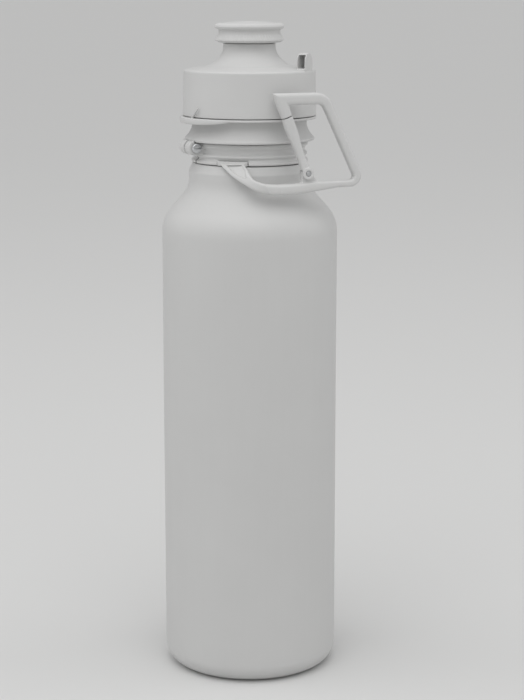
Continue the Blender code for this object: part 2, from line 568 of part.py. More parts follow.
def collar_band():
    """The ribbed band round the neck, with two ears past the flange and a pocket for the shoe."""
    low = COLLAR_BASE_Z
    groove = COLLAR_RADIUS - COLLAR_GROOVE
    profile = [(COLLAR_BORE, low), (COLLAR_RADIUS - 0.3 * MM, low), (COLLAR_RADIUS, low + 0.5 * MM),
               (COLLAR_RADIUS, low + 1.0 * MM), (groove + 0.2 * MM, low + 2.0 * MM),
               (groove + 0.2 * MM, low + 2.4 * MM), (COLLAR_RADIUS - 0.3 * MM, low + 3.2 * MM),
               (COLLAR_RADIUS - 0.3 * MM, low + 3.7 * MM), (groove, low + 4.6 * MM),
               (groove, low + 6.0 * MM), (COLLAR_RADIUS, COLLAR_TOP_Z - 1.4 * MM),
               (COLLAR_RADIUS, COLLAR_TOP_Z), (COLLAR_BORE, COLLAR_TOP_Z), (COLLAR_BORE, low)]
    band = turned("collar_band", profile)
    back = -(EAR_CENTRE - COLLAR_RADIUS + COLLAR_GROOVE + EMBED)
    outline = [(back, -EAR_RADIUS)] + arc((0.0, 0.0), EAR_RADIUS, -90, 90, 8) + [(back, EAR_RADIUS)]
    half = EAR_SPLIT / 2 + EAR_THICKNESS
    combine(band, prism("collar_ears", outline, half, ear_frame(0.0)), "UNION")
    room = FLANGE_RADIUS + RUNNING
    roof = COLLAR_TOP_Z + 2 * EAR_RADIUS
    flange_room = turned("flange_room", [(0.0, COLLAR_TOP_Z), (room, COLLAR_TOP_Z), (room, roof),
                                         (0.0, roof)])
    combine(band, flange_room, "DIFFERENCE")
    deep = -(EAR_CENTRE - COLLAR_BORE + RUNNING)
    wide = 2 * EAR_RADIUS
    tall = COLLAR_HEIGHT + RUNNING
    slot = [(deep, -tall), (wide, -tall), (wide, tall), (deep, tall)]
    combine(band, prism("collar_slot", slot, EAR_SPLIT / 2, ear_frame(0.0)), "DIFFERENCE")
    hole = arc((0.0, 0.0), SCREW_RADIUS + GAP, 0, 330, 11)
    combine(band, prism("screw_hole", hole, 2 * half, ear_frame(0.0)), "DIFFERENCE")
    pocket = shoe_sections(SHOE_BORE - GAP, COLLAR_RADIUS + SHOE_DEPTH, SHOE_BASE_Z - RUNNING,
                           SHOE_BASE_Z + SHOE_HEIGHT + GAP, SHOE_SPAN + 1.4)
    return combine(band, lofted("shoe_pocket", pocket), "DIFFERENCE")


def shoe_sections(inner, outer, low, high, span):
    """Sections along a stretch of ring centred on the shoe's azimuth."""
    steps = 8
    sections = []
    for i in range(steps + 1):
        azimuth = SHOE_AZIMUTH + span * (i / steps - 0.5)
        corners = ((inner, low), (outer, low), (outer, high), (inner, high))
        sections.append([around(azimuth, r, z) for r, z in corners])
    return sections


def collar_screw():
    """The slotted screw that draws the collar's ears together."""
    half = EAR_SPLIT / 2 + EAR_THICKNESS
    seat = half + GAP
    crown = seat + SCREW_HEAD_HEIGHT
    end = -(half + GAP + NUT_HEIGHT)
    screw = turned("collar_screw", [(0.0, end), (SCREW_RADIUS, end), (SCREW_RADIUS, seat),
                                    (SCREW_HEAD, seat), (SCREW_HEAD, crown - 0.4 * MM),
                                    (SCREW_HEAD - 0.4 * MM, crown), (0.0, crown)],
                   SMALL_TURN_STEPS)
    screw.matrix_world = ear_frame(0.0)
    cut = SCREW_SLOT / 2
    outline = [(-SCREW_HEAD * 1.5, -cut), (SCREW_HEAD * 1.5, -cut), (SCREW_HEAD * 1.5, cut),
               (-SCREW_HEAD * 1.5, cut)]
    slot = prism("screw_slot", outline, SCREW_SLOT, ear_frame(crown))
    return combine(screw, slot, "DIFFERENCE")


def collar_nut():
    """The hexagon nut on the screw's far end."""
    half = EAR_SPLIT / 2 + EAR_THICKNESS
    middle = -(half + GAP + NUT_HEIGHT / 2)
    hexagon = arc((0.0, 0.0), NUT_ACROSS / math.sqrt(3), 0, 300, 5)
    nut = prism("collar_nut", hexagon, NUT_HEIGHT / 2, ear_frame(middle))
    hole = arc((0.0, 0.0), SCREW_RADIUS + GAP, 0, 330, 11)
    return combine(nut, prism("nut_hole", hole, NUT_HEIGHT, ear_frame(middle)), "DIFFERENCE")


# ---- the clip handle ----------------------------------------------------------------------

def clip_point(across, height, out=0.0):
    """A point given across and up the clip's plane, and outwards from it."""
    angle = math.radians(CLIP_AZIMUTH)
    side = Vector((math.cos(angle), math.sin(angle), 0.0))
    return around(CLIP_AZIMUTH, CLIP_OFFSET + out, 0.0) + side * across + Vector((0, 0, height))


def clip_frame_matrix(across, height):
    """A frame in the clip's plane: X across, Y up and Z outwards."""
    return radial_frame(CLIP_AZIMUTH, CLIP_OFFSET, 0.0) @ Matrix.Translation((across, height, 0.0))


def bar_section(centre, wide, thick):
    """Eight points of a bar with cut corners, from its half-width and half-thickness vectors."""
    corner = 0.42
    shape = ((-1, -corner), (-corner, -1), (corner, -1), (1, -corner),
             (1, corner), (corner, 1), (-corner, 1), (-1, corner))
    return [centre + wide * a + thick * b for a, b in shape]


def rounded_corner(before, corner, after, radius, steps):
    """Centre-line points that round a corner of the clip's outline."""
    into = (corner - before).normalized()
    out = (after - corner).normalized()
    turn = into.angle(out)
    back = radius * math.tan(turn / 2)
    start = corner - into * back
    end = corner + out * back
    pull = 0.55 * back
    return [Vector(p) for p in bezier(tuple(start), tuple(start + into * pull),
                                      tuple(end - out * pull), tuple(end), steps)]


def gate_direction():
    """The gate's direction in the clip's plane, from its pivot to the nose's corner."""
    corner = Vector((CLIP_NOSE, COLLAR_BASE_Z + CLIP_TOP_RISE))
    return (corner - Vector((PIVOT_ACROSS, PIVOT_Z))).normalized()


def clip_outline():
    """The loop's centre line and half-widths, from the nose's tip round to the arm."""
    top = COLLAR_BASE_Z + CLIP_TOP_RISE
    foot = COLLAR_BASE_Z - CLIP_DROP
    arm = COLLAR_BASE_Z - ARM_DROP
    corner = Vector((CLIP_NOSE, top))
    nose = Vector((PIVOT_ACROSS, PIVOT_Z)) + gate_direction() * (GATE_LENGTH + RUNNING)
    high = Vector((CLIP_NOSE + CLIP_TOP_LENGTH, top))
    low = Vector((high.x + (top - foot) * math.tan(math.radians(CLIP_SPINE_LEAN)), foot))
    join = Vector((PIVOT_ACROSS + 3.0 * MM, foot - 0.8 * MM))
    points = [(nose, GATE_HALF), (corner, CLIP_TOP_HALF)]
    points += [(p, CLIP_TOP_HALF) for p in rounded_corner(corner, high, low, CLIP_TOP_CORNER, 4)]
    points += [(p, CLIP_SPINE_HALF) for p in rounded_corner(high, low, join, CLIP_FOOT_CORNER, 5)]
    points += [(Vector((low.x - 10.0 * MM, foot - 0.1 * MM)), CLIP_FOOT_HALF + 0.3 * MM),
               (join, ARM_HALF), (Vector((7.8 * MM, arm + 0.1 * MM)), ARM_HALF),
               (Vector((0.9 * MM, arm)), ARM_HALF)]
    return points


def loop_sections():
    """Sections of the loop, each at right angles to the turn of the centre line there."""
    outline = clip_outline()
    thick = around(CLIP_AZIMUTH, CLIP_DEPTH / 2, 0.0)
    sections = []
    for i, (point, half) in enumerate(outline):
        into = (point - outline[i - 1][0]).normalized() if i else None
        out = (outline[i + 1][0] - point).normalized() if i + 1 < len(outline) else into
        into = into or out
        along = (into + out).normalized()
        stretch = 1.0 / max(0.5, along.dot(out))
        across = Vector((-along.y, along.x)) * half * stretch
        wide = clip_point(across.x, across.y) - clip_point(0.0, 0.0)
        sections.append(bar_section(clip_point(point.x, point.y), wide, thick))
    return sections


def arm_sections():
    """Sections of the arm between its two edges, from the loop round to the shoe on the collar.

    Each edge point is an azimuth from the clip's, the share of the way out from the collar to
    the clip's plane, and a height over the collar's lower edge.
    """
    root = SHOE_BORE + SHOE_DEPTH / 2
    lower = ((-5.1, 0.98, -10.7), (-13.8, 0.84, -9.6), (-23.3, 0.64, -7.1), (-34.7, 0.43, -3.7),
             (-49.0, 0.10, 0.75))
    upper = ((-8.9, 0.97, -6.2), (-15.3, 0.78, -5.1), (-18.6, 0.58, -3.4), (-21.2, 0.36, -1.2),
             (-25.0, 0.10, 0.95))
    edges = []
    for edge in (lower, upper):
        points = [around(CLIP_AZIMUTH + azimuth, root + (CLIP_OFFSET - root) * share,
                         COLLAR_BASE_Z + height * MM) for azimuth, share, height in edge]
        edges.append(through(points, 3))
    sections = []
    for i, (bottom, top) in enumerate(zip(*edges)):
        centre = (bottom + top) / 2
        out = Vector((centre.x, centre.y, 0.0)).normalized()
        t = i / (len(edges[0]) - 1)
        thickness = CLIP_DEPTH + (ARM_ROOT_THICKNESS - CLIP_DEPTH) * min(1.0, 1.4 * t)
        sections.append(bar_section(centre, (bottom - top) / 2, out * thickness / 2))
    return sections


def clip_frame():
    """The clip handle: nose, loop, arm and shoe in one, with a tongue for the gate's pivot."""
    frame = lofted("clip_frame", loop_sections() + arm_sections())
    shoe = shoe_sections(SHOE_BORE, COLLAR_RADIUS + 0.1 * MM, SHOE_BASE_Z,
                         SHOE_BASE_Z + SHOE_HEIGHT, SHOE_SPAN)
    combine(frame, lofted("clip_shoe", shoe), "UNION")
    foot = COLLAR_BASE_Z - CLIP_DROP
    pivot = (PIVOT_ACROSS, PIVOT_Z)
    outline = arc(pivot, TONGUE_RADIUS, 0, 180, 8)
    outline += [(PIVOT_ACROSS - TONGUE_RADIUS - 0.4 * MM, foot - 0.6 * MM),
                (PIVOT_ACROSS + 7.0 * MM, foot - 0.4 * MM), (PIVOT_ACROSS + 3.6 * MM, foot + 2.2 * MM)]
    combine(frame, prism("clip_tongue", outline, TONGUE_THICKNESS / 2, clip_frame_matrix(0, 0)),
            "UNION")
    hole = arc(pivot, PIVOT_HOLE, 0, 330, 11)
    return combine(frame, prism("tongue_hole", hole, CLIP_DEPTH, clip_frame_matrix(0, 0)),
                   "DIFFERENCE")


def gate_pin():
    """The plain pin that the gate swings on."""
    circle = arc((PIVOT_ACROSS, PIVOT_Z), PIVOT_PIN, 0, 330, 11)
    return prism("gate_pin", circle, GATE_KNUCKLE_DEPTH / 2, clip_frame_matrix(0, 0))


def gate_place(along, aside=0.0, out=0.0):
    """A point given along the gate from its pivot, towards the loop's inside, and outwards."""
    direction = gate_direction()
    inward = Vector((direction.y, -direction.x))
    flat = Vector((PIVOT_ACROSS, PIVOT_Z)) + direction * along + inward * aside
    return clip_point(flat.x, flat.y, out)


def clip_gate():
    """The sprung gate: a swollen bar with a forked knuckle round the tongue."""
    wide = gate_place(0.0, 1.0) - gate_place(0.0)
    thick = around(CLIP_AZIMUTH, 1.0, 0.0)
    sections = []
    steps = 8
    for i in range(steps + 1):
        t = i / steps
        swell = GATE_SWELL * math.sin(math.pi * min(1.0, max(0.0, (t - 0.25) / 0.7))) ** 2
        deep = CLIP_DEPTH / 2 - 0.2 * MM + (GATE_KNUCKLE_DEPTH - CLIP_DEPTH) / 2 * max(0.0, 1 - 4 * t)
        along = GATE_LENGTH * t
        sections.append(bar_section(gate_place(along), wide * (GATE_HALF + swell), thick * deep))
    gate = lofted("clip_gate", sections)
    flat = clip_frame_matrix(0, 0)
    pivot = (PIVOT_ACROSS, PIVOT_Z)
    knuckle = arc(pivot, GATE_KNUCKLE, 0, 345, 23)
    combine(gate, prism("gate_knuckle", knuckle, GATE_KNUCKLE_DEPTH / 2, flat), "UNION")
    room = arc(pivot, TONGUE_RADIUS + 2 * GAP, 0, 345, 23)
    slot = TONGUE_THICKNESS / 2 + GAP
    combine(gate, prism("gate_fork", room, slot, flat), "DIFFERENCE")
    direction = gate_direction()
    inward = Vector((direction.y, -direction.x))
    base = Vector(pivot)
    floor = -0.7 * MM
    corners = ((0.0, floor), (GATE_CHANNEL_LENGTH, floor), (GATE_CHANNEL_LENGTH, 4 * GATE_HALF),
               (0.0, 4 * GATE_HALF))
    channel = [tuple(base + direction * a + inward * b) for a, b in corners]
    combine(gate, prism("gate_channel", channel, slot, flat), "DIFFERENCE")
    heel = [tuple(base + direction * a + inward * b)
            for a, b in ((0.0, -4 * GATE_HALF), (0.0, 4 * GATE_HALF),
                         (-4 * GATE_HALF, 4 * GATE_HALF), (-4 * GATE_HALF, -4 * GATE_HALF))]
    combine(gate, prism("gate_heel", heel, slot, flat), "DIFFERENCE")
    hole = arc(pivot, PIVOT_HOLE, 0, 330, 11)
    return combine(gate, prism("gate_hole", hole, CLIP_DEPTH, flat), "DIFFERENCE")


def gate_spring():
    """The leaf spring in the gate's channel, which bears on the tongue."""
    start = TONGUE_RADIUS + 3 * GAP
    length = GATE_CHANNEL_LENGTH - GAP - start
    wide = around(CLIP_AZIMUTH, TONGUE_THICKNESS / 2, 0.0)
    sections = []
    steps = 6
    for i in range(steps + 1):
        t = i / steps
        bow = 1.3 * MM * (1.0 - t) ** 2
        middle = -0.7 * MM + GAP + SPRING_THICKNESS / 2 + bow
        half = gate_place(0.0, SPRING_THICKNESS / 2) - gate_place(0.0)
        centre = gate_place(start + length * t, middle)
        sections.append([centre - wide - half, centre + wide - half, centre + wide + half,
                         centre - wide + half])
    return lofted("gate_spring", sections)


# ---- assembly -----------------------------------------------------------------------------

def joint_empty(name, place, parent=None):
    """An empty on a joint's axis that its body's pieces hang from."""
    made = bpy.data.objects.new(name, None)
    made.empty_display_size = 10 * MM
    bpy.context.scene.collection.objects.link(made)
    made.matrix_world = Matrix.Translation(place)
    if parent is not None:
        attach(made, parent)
    return made


def attach(child, parent):
    """Parents an object without moving it."""
    bpy.context.view_layer.update()
    child.parent = parent
    child.matrix_parent_inverse = parent.matrix_world.inverted()


def dress(pieces, finish):
    """Gives each piece its material."""
    for piece in pieces:
        piece.data.materials.append(finish)


def main():
    """Builds every piece, dresses it and hangs it on its joint."""
    clear_scene()
    squeeze = material("squeeze_plastic", SOFT_WHITE, 0.45)
    hard = material("hard_plastic", WARM_WHITE, 0.35)
    soft = material("soft_rubber", RUBBER_GREY, 0.7)
    steel = material("steel", STEEL_GREY, 0.3, 1.0)

    root = joint_empty("bottle", (0, 0, 0))
    lift = joint_empty("cap_lift", (0, 0, MOUTH_Z), root)
    turn = joint_empty("cap_turn", (0, 0, CAP_BASE_Z), lift)
    pull = joint_empty("nozzle_pull", (0, 0, NOZZLE_BASE_Z), turn)
    ring = joint_empty("ring_spin", (0, 0, RING_BASE_Z), root)
    swivel = joint_empty("collar_swivel", (0, 0, COLLAR_BASE_Z), root)
    hinge = joint_empty("gate_swing", clip_point(PIVOT_ACROSS, PIVOT_Z), swivel)

    bodies = (
        (root, [bottle_body()], squeeze),
        (lift, [cap_gasket()], soft),
        (turn, [cap_shell(), spout_pin()], hard),
        (pull, [nozzle_core()], hard),
        (pull, [nozzle_grip()], soft),
        (ring, [tab_ring()], hard),
        (swivel, [collar_band(), clip_frame()], hard),
        (swivel, [collar_screw(), collar_nut(), gate_pin()], steel),
        (hinge, [clip_gate()], hard),
        (hinge, [gate_spring()], steel),
    )
    for joint, pieces, finish in bodies:
        dress(pieces, finish)
        for piece in pieces:
            attach(piece, joint)


main()
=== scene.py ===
"""The looks of a sports squeeze bottle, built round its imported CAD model.

Every piece keeps the CAD model's places: heights are read from the CAD nodes' boxes, and the
shapes between them are worked out here, finer than the CAD solids. The bottle's axis is on +Z and
its front towards -Y. An azimuth is an angle in degrees from the front towards +X. Sizes and
outlines are in millimetres, and a shape becomes metres where its mesh is made.
"""

from __future__ import annotations

import logging
import math
from dataclasses import dataclass, field
from enum import Enum
from typing import Callable, Sequence

import bmesh
import bpy
import numpy as np
from mathutils import Matrix, Vector


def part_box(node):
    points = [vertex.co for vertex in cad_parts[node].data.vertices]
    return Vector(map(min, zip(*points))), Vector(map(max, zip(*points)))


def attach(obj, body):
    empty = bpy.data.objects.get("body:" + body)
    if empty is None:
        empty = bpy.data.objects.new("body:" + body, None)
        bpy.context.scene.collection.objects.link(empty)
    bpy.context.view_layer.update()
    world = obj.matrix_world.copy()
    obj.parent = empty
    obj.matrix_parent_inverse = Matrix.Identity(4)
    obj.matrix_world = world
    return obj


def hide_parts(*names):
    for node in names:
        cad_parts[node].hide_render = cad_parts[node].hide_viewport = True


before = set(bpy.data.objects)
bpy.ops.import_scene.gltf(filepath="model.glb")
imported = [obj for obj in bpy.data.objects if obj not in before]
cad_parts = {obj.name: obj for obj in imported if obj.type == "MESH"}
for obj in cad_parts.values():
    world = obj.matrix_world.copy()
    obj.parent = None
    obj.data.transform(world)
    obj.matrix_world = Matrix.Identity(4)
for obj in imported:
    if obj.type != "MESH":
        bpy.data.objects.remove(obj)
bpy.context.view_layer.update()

MM = 0.001
GAP = 0.3              # running clearance between pieces
THREAD_PITCH = 4.0
THREAD_TURNS = 1.5

LOG = logging.getLogger("bottle")
Array = np.ndarray
Corner = tuple[float, float, float]
Colour = tuple[float, float, float]


# ---- numbers and outlines -----------------------------------------------------------------

def smoothstep(low: float, high: float, value: Array) -> Array:
    """Rises from 0 at low to 1 at high along 3t^2 - 2t^3.

    Args:
        low: the value where the step starts.
        high: the value where it ends.
        value: where it is wanted.

    Returns:
        The step's height at each value.
    """
    t = np.clip((value - low) / (high - low), 0.0, 1.0)
    return t * t * (3.0 - 2.0 * t)


def around(azimuth: Array | float, radius: Array | float, height: Array | float) -> Array:
    """Points at azimuths in degrees, radii and heights: (r sin a, -r cos a, z).

    Args:
        azimuth: angles from the front towards +X.
        radius: distances from the bottle's axis.
        height: heights over the base.

    Returns:
        An array whose last axis is x, y, z.
    """
    angle = np.radians(azimuth)
    parts = np.broadcast_arrays(radius * np.sin(angle), -radius * np.cos(angle), height)
    return np.stack(parts, axis=-1)


def bezier(corners: Sequence[tuple[float, float]], steps: int) -> Array:
    """Points on a cubic curve: the four corners weighted by (1-t)^3, 3t(1-t)^2, 3t^2(1-t), t^3.

    Args:
        corners: the start, its pull point, the end's pull point and the end.
        steps: how many spans to cut it into.

    Returns:
        An array of steps + 1 points.
    """
    t = np.linspace(0.0, 1.0, steps + 1)[:, None]
    a, b, c, d = (np.asarray(corner, float) for corner in corners)
    return a * (1 - t) ** 3 + 3 * b * t * (1 - t) ** 2 + 3 * c * t * t * (1 - t) + d * t ** 3


def spline(rows: Array, steps: int) -> Array:
    """A Catmull-Rom curve through rows of numbers, with the first and last row doubled.

    Args:
        rows: an array of n rows, each the same few numbers.
        steps: spans between two given rows.

    Returns:
        An array of (n - 1) * steps + 1 rows.
    """
    padded = np.concatenate([rows[:1], rows, rows[-1:]])
    a, b, c, d = padded[:-3, None], padded[1:-2, None], padded[2:-1, None], padded[3:, None]
    t = (np.arange(steps) / steps)[None, :, None]
    curve = 0.5 * (2 * b + (c - a) * t + (2 * a - 5 * b + 4 * c - d) * t ** 2
                   + (3 * b - a - 3 * c + d) * t ** 3)
    return np.concatenate([curve.reshape(-1, rows.shape[1]), rows[-1:]])


def rounded(corners: Sequence[Corner], closed: bool, arc_step: float = 7.0) -> Array:
    """A polygon with rounded corners.

    At each corner a circle of its fillet's radius touches both sides; the arc between the two
    touching points replaces the corner. The tangent's length is fillet * tan(turn / 2), held
    under half of the shorter side.

    Args:
        corners: (radius, height, fillet) of each corner.
        closed: whether the last corner joins the first.
        arc_step: degrees between two points of an arc.

    Returns:
        An array of (radius, height) points.
    """
    points = np.array([corner[:2] for corner in corners])
    count = len(points)
    out: list[Array] = []
    for i, (_, _, fillet) in enumerate(corners):
        at_end = not closed and i in (0, count - 1)
        before, here, after = points[i - 1], points[i], points[(i + 1) % count]
        into, away = here - before, after - here
        sides = np.linalg.norm(into), np.linalg.norm(away)
        if at_end or fillet <= 0.0 or min(sides) < 1e-9:
            out.append(here[None])
            continue
        into, away = into / sides[0], away / sides[1]
        turn = math.atan2(into[0] * away[1] - into[1] * away[0], float(into @ away))
        if abs(turn) < 1e-3:
            out.append(here[None])
            continue
        reach = min(fillet * math.tan(abs(turn) / 2), 0.49 * min(sides))
        radius = reach / math.tan(abs(turn) / 2)
        normal = np.array([-into[1], into[0]]) * math.copysign(1.0, turn)
        centre = here - into * reach + normal * radius
        steps = max(2, math.ceil(math.degrees(abs(turn)) / arc_step))
        swing = np.linspace(0.0, turn, steps + 1)[:, None]
        spoke = -normal
        side = np.array([-spoke[1], spoke[0]])
        out.append(centre + radius * (spoke * np.cos(swing) + side * np.sin(swing)))
    return np.concatenate(out)


def densified(outline: Array, longest: float, closed: bool) -> Array:
    """Cuts an outline's long sides into equal parts no longer than a given length.

    Args:
        outline: the (n, 2) points.
        longest: the longest side that stays whole.
        closed: whether the last point joins the first.

    Returns:
        The points with the new ones between them.
    """
    ends = np.roll(outline, -1, axis=0) if closed else outline[1:]
    out = []
    for start, end in zip(outline, ends):
        parts = max(1, math.ceil(float(np.linalg.norm(end - start)) / longest))
        out.append(start + (end - start) * (np.arange(parts) / parts)[:, None])
    if not closed:
        out.append(outline[-1:])
    return np.concatenate(out)


# ---- meshes -------------------------------------------------------------------------------

class Shade(Enum):
    """How a finished mesh is shaded."""

    SMOOTH = 60.0
    CRISP = 32.0


def grid_faces(rows: int, columns: int, wrap_rows: bool, wrap_columns: bool) -> Array:
    """The quads of a grid of points stored row by row.

    Args:
        rows: number of rows.
        columns: number of points in a row.
        wrap_rows: whether the last row joins the first.
        wrap_columns: whether each row closes on itself.

    Returns:
        An array of four indices for each quad.
    """
    i = np.arange(rows if wrap_rows else rows - 1)[:, None]
    j = np.arange(columns if wrap_columns else columns - 1)[None, :]
    below, right = (i + 1) % rows, (j + 1) % columns
    corners = (i * columns + j, i * columns + right, below * columns + right, below * columns + j)
    return np.stack(np.broadcast_arrays(*corners), axis=-1).reshape(-1, 4)


def skin(name: str, points: Array, faces: Array | Sequence[Sequence[int]],
         shade: Shade = Shade.SMOOTH) -> bpy.types.Object:
    """Makes a closed object from points and faces, merges its poles and turns its faces outwards.

    Args:
        name: the piece's name.
        points: an array whose last axis is x, y, z, in millimetres.
        faces: indices of each face's points.
        shade: how sharp an edge has to be to stay crisp.

    Returns:
        The new object, at the origin.
    """
    mesh = bpy.data.meshes.new(name)
    listed = faces.tolist() if isinstance(faces, np.ndarray) else faces
    mesh.from_pydata((np.asarray(points).reshape(-1, 3) * MM).tolist(), [], listed)
    bm = bmesh.new()
    bm.from_mesh(mesh)
    bmesh.ops.remove_doubles(bm, verts=bm.verts, dist=1e-7)
    bmesh.ops.dissolve_degenerate(bm, edges=bm.edges, dist=1e-8)
    bmesh.ops.recalc_face_normals(bm, faces=bm.faces)
    bm.to_mesh(mesh)
    bm.free()
    mesh.shade_smooth()
    mesh.set_sharp_from_angle(angle=math.radians(shade.value))
    made = bpy.data.objects.new(name, mesh)
    bpy.context.scene.collection.objects.link(made)
    return made


def revolved(name: str, outline: Array, angles: int | Array = 192, closed: bool = True,
             swell: Callable[[Array, Array, Array], Array] | None = None,
             shade: Shade = Shade.SMOOTH) -> bpy.types.Object:
    """Turns an outline about Z: each point is (r cos a, r sin a, z), with r changed by swell.

    Args:
        name: the piece's name.
        outline: (radius, height) points; open ones start and end on the axis.
        angles: how many equal steps, or the angles themselves in radians.
        closed: whether the outline closes on itself.
        swell: gives what is added to the radius from angle, radius and height grids.
        shade: how sharp an edge has to be to stay crisp.

    Returns:
        The new object.
    """
    turn = np.arange(angles) * (math.tau / angles) if isinstance(angles, int) else angles
    a, r = np.meshgrid(turn, outline[:, 0])
    z = np.broadcast_to(outline[:, 1][:, None], r.shape)
    if swell is not None:
        r = r + swell(a, r, z)
    points = np.stack([r * np.cos(a), r * np.sin(a), z], axis=-1)
    return skin(name, points, grid_faces(len(outline), len(turn), closed, True), shade)


def swept(name: str, sections: Array, shade: Shade = Shade.SMOOTH) -> bpy.types.Object:
    """Skins rows of section points and closes both ends with a point in the middle.

    Args:
        name: the piece's name.
        sections: an array of rows, points in a row, and x, y, z.
        shade: how sharp an edge has to be to stay crisp.

    Returns:
        The new object.
    """
    ends = sections.mean(axis=1, keepdims=True)
    first = np.broadcast_to(ends[:1], sections[:1].shape)
    last = np.broadcast_to(ends[-1:], sections[-1:].shape)
    points = np.concatenate([first, sections, last])
    return skin(name, points, grid_faces(len(points), sections.shape[1], False, True), shade)


def bar(centres: Array, wides: Array, thicks: Array, squareness: float = 2.7,
        count: int = 28) -> Array:
    """Sections of a bar: points c + w sgn(cos t)|cos t|^(2/e) + h sgn(sin t)|sin t|^(2/e).

    Args:
        centres: the middle of each section.
        wides: each section's half-width vector.
        thicks: each section's half-thickness vector.
        squareness: the exponent e; 2 is an ellipse and larger ones near a box.
        count: points round a section.

    Returns:
        An array of sections for swept.
    """
    t = np.arange(count) * (math.tau / count)
    across = np.sign(np.cos(t)) * np.abs(np.cos(t)) ** (2.0 / squareness)
    up = np.sign(np.sin(t)) * np.abs(np.sin(t)) ** (2.0 / squareness)
    return (centres[:, None] + wides[:, None] * across[None, :, None]
            + thicks[:, None] * up[None, :, None])


def prism(name: str, outline: Array, half: float, place: Matrix) -> bpy.types.Object:
    """Extrudes a flat outline to both sides of its plane and puts it in place.

    Args:
        name: the object's name.
        outline: (n, 2) points in the plane.
        half: half of the extrusion.
        place: where the plane lies.

    Returns:
        The new object.
    """
    count = len(outline)
    layers = [np.column_stack([outline, np.full(count, z)]) for z in (-half, half)]
    flat = np.concatenate(layers)
    turn = np.array(place)
    points = flat @ turn[:3, :3].T + turn[:3, 3]
    sides = grid_faces(2, count, False, True).tolist()
    caps = [list(range(count)), list(range(2 * count - 1, count - 1, -1))]
    return skin(name, points, sides + caps, Shade.CRISP)


def frame_at(azimuth: float, radius: float, height: float) -> Matrix:
    """A frame at a point on a cylinder: X along the tangent, Y up and Z outwards."""
    out = Vector(around(azimuth, 1.0, 0.0))
    tangent = Vector(around(azimuth + 90.0, 1.0, 0.0))
    turn = Matrix((tangent, Vector((0, 0, 1)), out)).transposed().to_4x4()
    return Matrix.Translation(Vector(around(azimuth, radius, height))) @ turn


def settled(piece: bpy.types.Object) -> bpy.types.Object:
    """Applies an object's modifiers to its mesh."""
    graph = bpy.context.evaluated_depsgraph_get()
    mesh = bpy.data.meshes.new_from_object(piece.evaluated_get(graph))
    piece.modifiers.clear()
    piece.data = mesh
    return piece


def cut(piece: bpy.types.Object, *cutters: bpy.types.Object) -> bpy.types.Object:
    """Takes cutters out of a piece and removes them.

    Args:
        piece: what is cut.
        cutters: the closed shapes to take away.

    Returns:
        The piece.
    """
    for cutter in cutters:
        modifier = piece.modifiers.new("cut", "BOOLEAN")
        modifier.operation = "DIFFERENCE"
        modifier.solver = "EXACT"
        modifier.object = cutter
    settled(piece)
    for cutter in cutters:
        bpy.data.objects.remove(cutter, do_unlink=True)
    return piece


def moulded(name: str, parts: Sequence[bpy.types.Object], voxel: float,
            rounds: int) -> bpy.types.Object:
    """Melts closed parts into one skin with soft inner corners, as a mould would make it.

    The parts are joined, remeshed on a grid of voxels and relaxed, each point moving half of
    the way to its neighbours' mean in every round.

    Args:
        name: the piece's name.
        parts: closed shapes that run into each other.
        voxel: the grid's size.
        rounds: how many times the skin is relaxed.

    Returns:
        The new object.
    """
    bm = bmesh.new()
    for part in parts:
        bm.from_mesh(part.data)
    mesh = bpy.data.meshes.new(name)
    bm.to_mesh(mesh)
    bm.free()
    made = bpy.data.objects.new(name, mesh)
    bpy.context.scene.collection.objects.link(made)
    remesh = made.modifiers.new("voxels", "REMESH")
    remesh.mode = "VOXEL"
    remesh.voxel_size = voxel * MM
    remesh.use_smooth_shade = True
    relax = made.modifiers.new("relax", "SMOOTH")
    relax.factor = 0.5
    relax.iterations = rounds
    settled(made)
    for part in parts:
        bpy.data.objects.remove(part, do_unlink=True)
    made.data.shade_smooth()
    return made


def joined(name: str, parts: Sequence[bpy.types.Object]) -> bpy.types.Object:
    """Unites closed parts into one solid with crisp edges.

    Args:
        name: the piece's name.
        parts: closed shapes that run into each other.

    Returns:
        The united object.
    """
    first, others = parts[0], parts[1:]
    for other in others:
        modifier = first.modifiers.new("join", "BOOLEAN")
        modifier.operation = "UNION"
        modifier.solver = "EXACT"
        modifier.object = other
    settled(first)
    for other in others:
        bpy.data.objects.remove(other, do_unlink=True)
    first.name = name
    return first


def circle(centre: tuple[float, float], radius: float, start: float = 0.0, end: float = 360.0,
           steps: int = 48) -> Array:
    """Points (x + r cos t, y + r sin t) on an arc; a full circle leaves out its last point."""
    full = abs(end - start) >= 360.0
    t = np.radians(np.linspace(start, end, steps, endpoint=not full))
    return np.column_stack([centre[0] + radius * np.cos(t), centre[1] + radius * np.sin(t)])


def plain(points: Array) -> list[Corner]:
    """Corners without fillets, for the parts of an outline that are already curves."""
    return [(float(r), float(z), 0.0) for r, z in points]


def span(node: str) -> tuple[float, float]:
    """The lowest and highest height of a CAD node, in millimetres."""
    low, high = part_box(node)
    return low.z / MM, high.z / MM


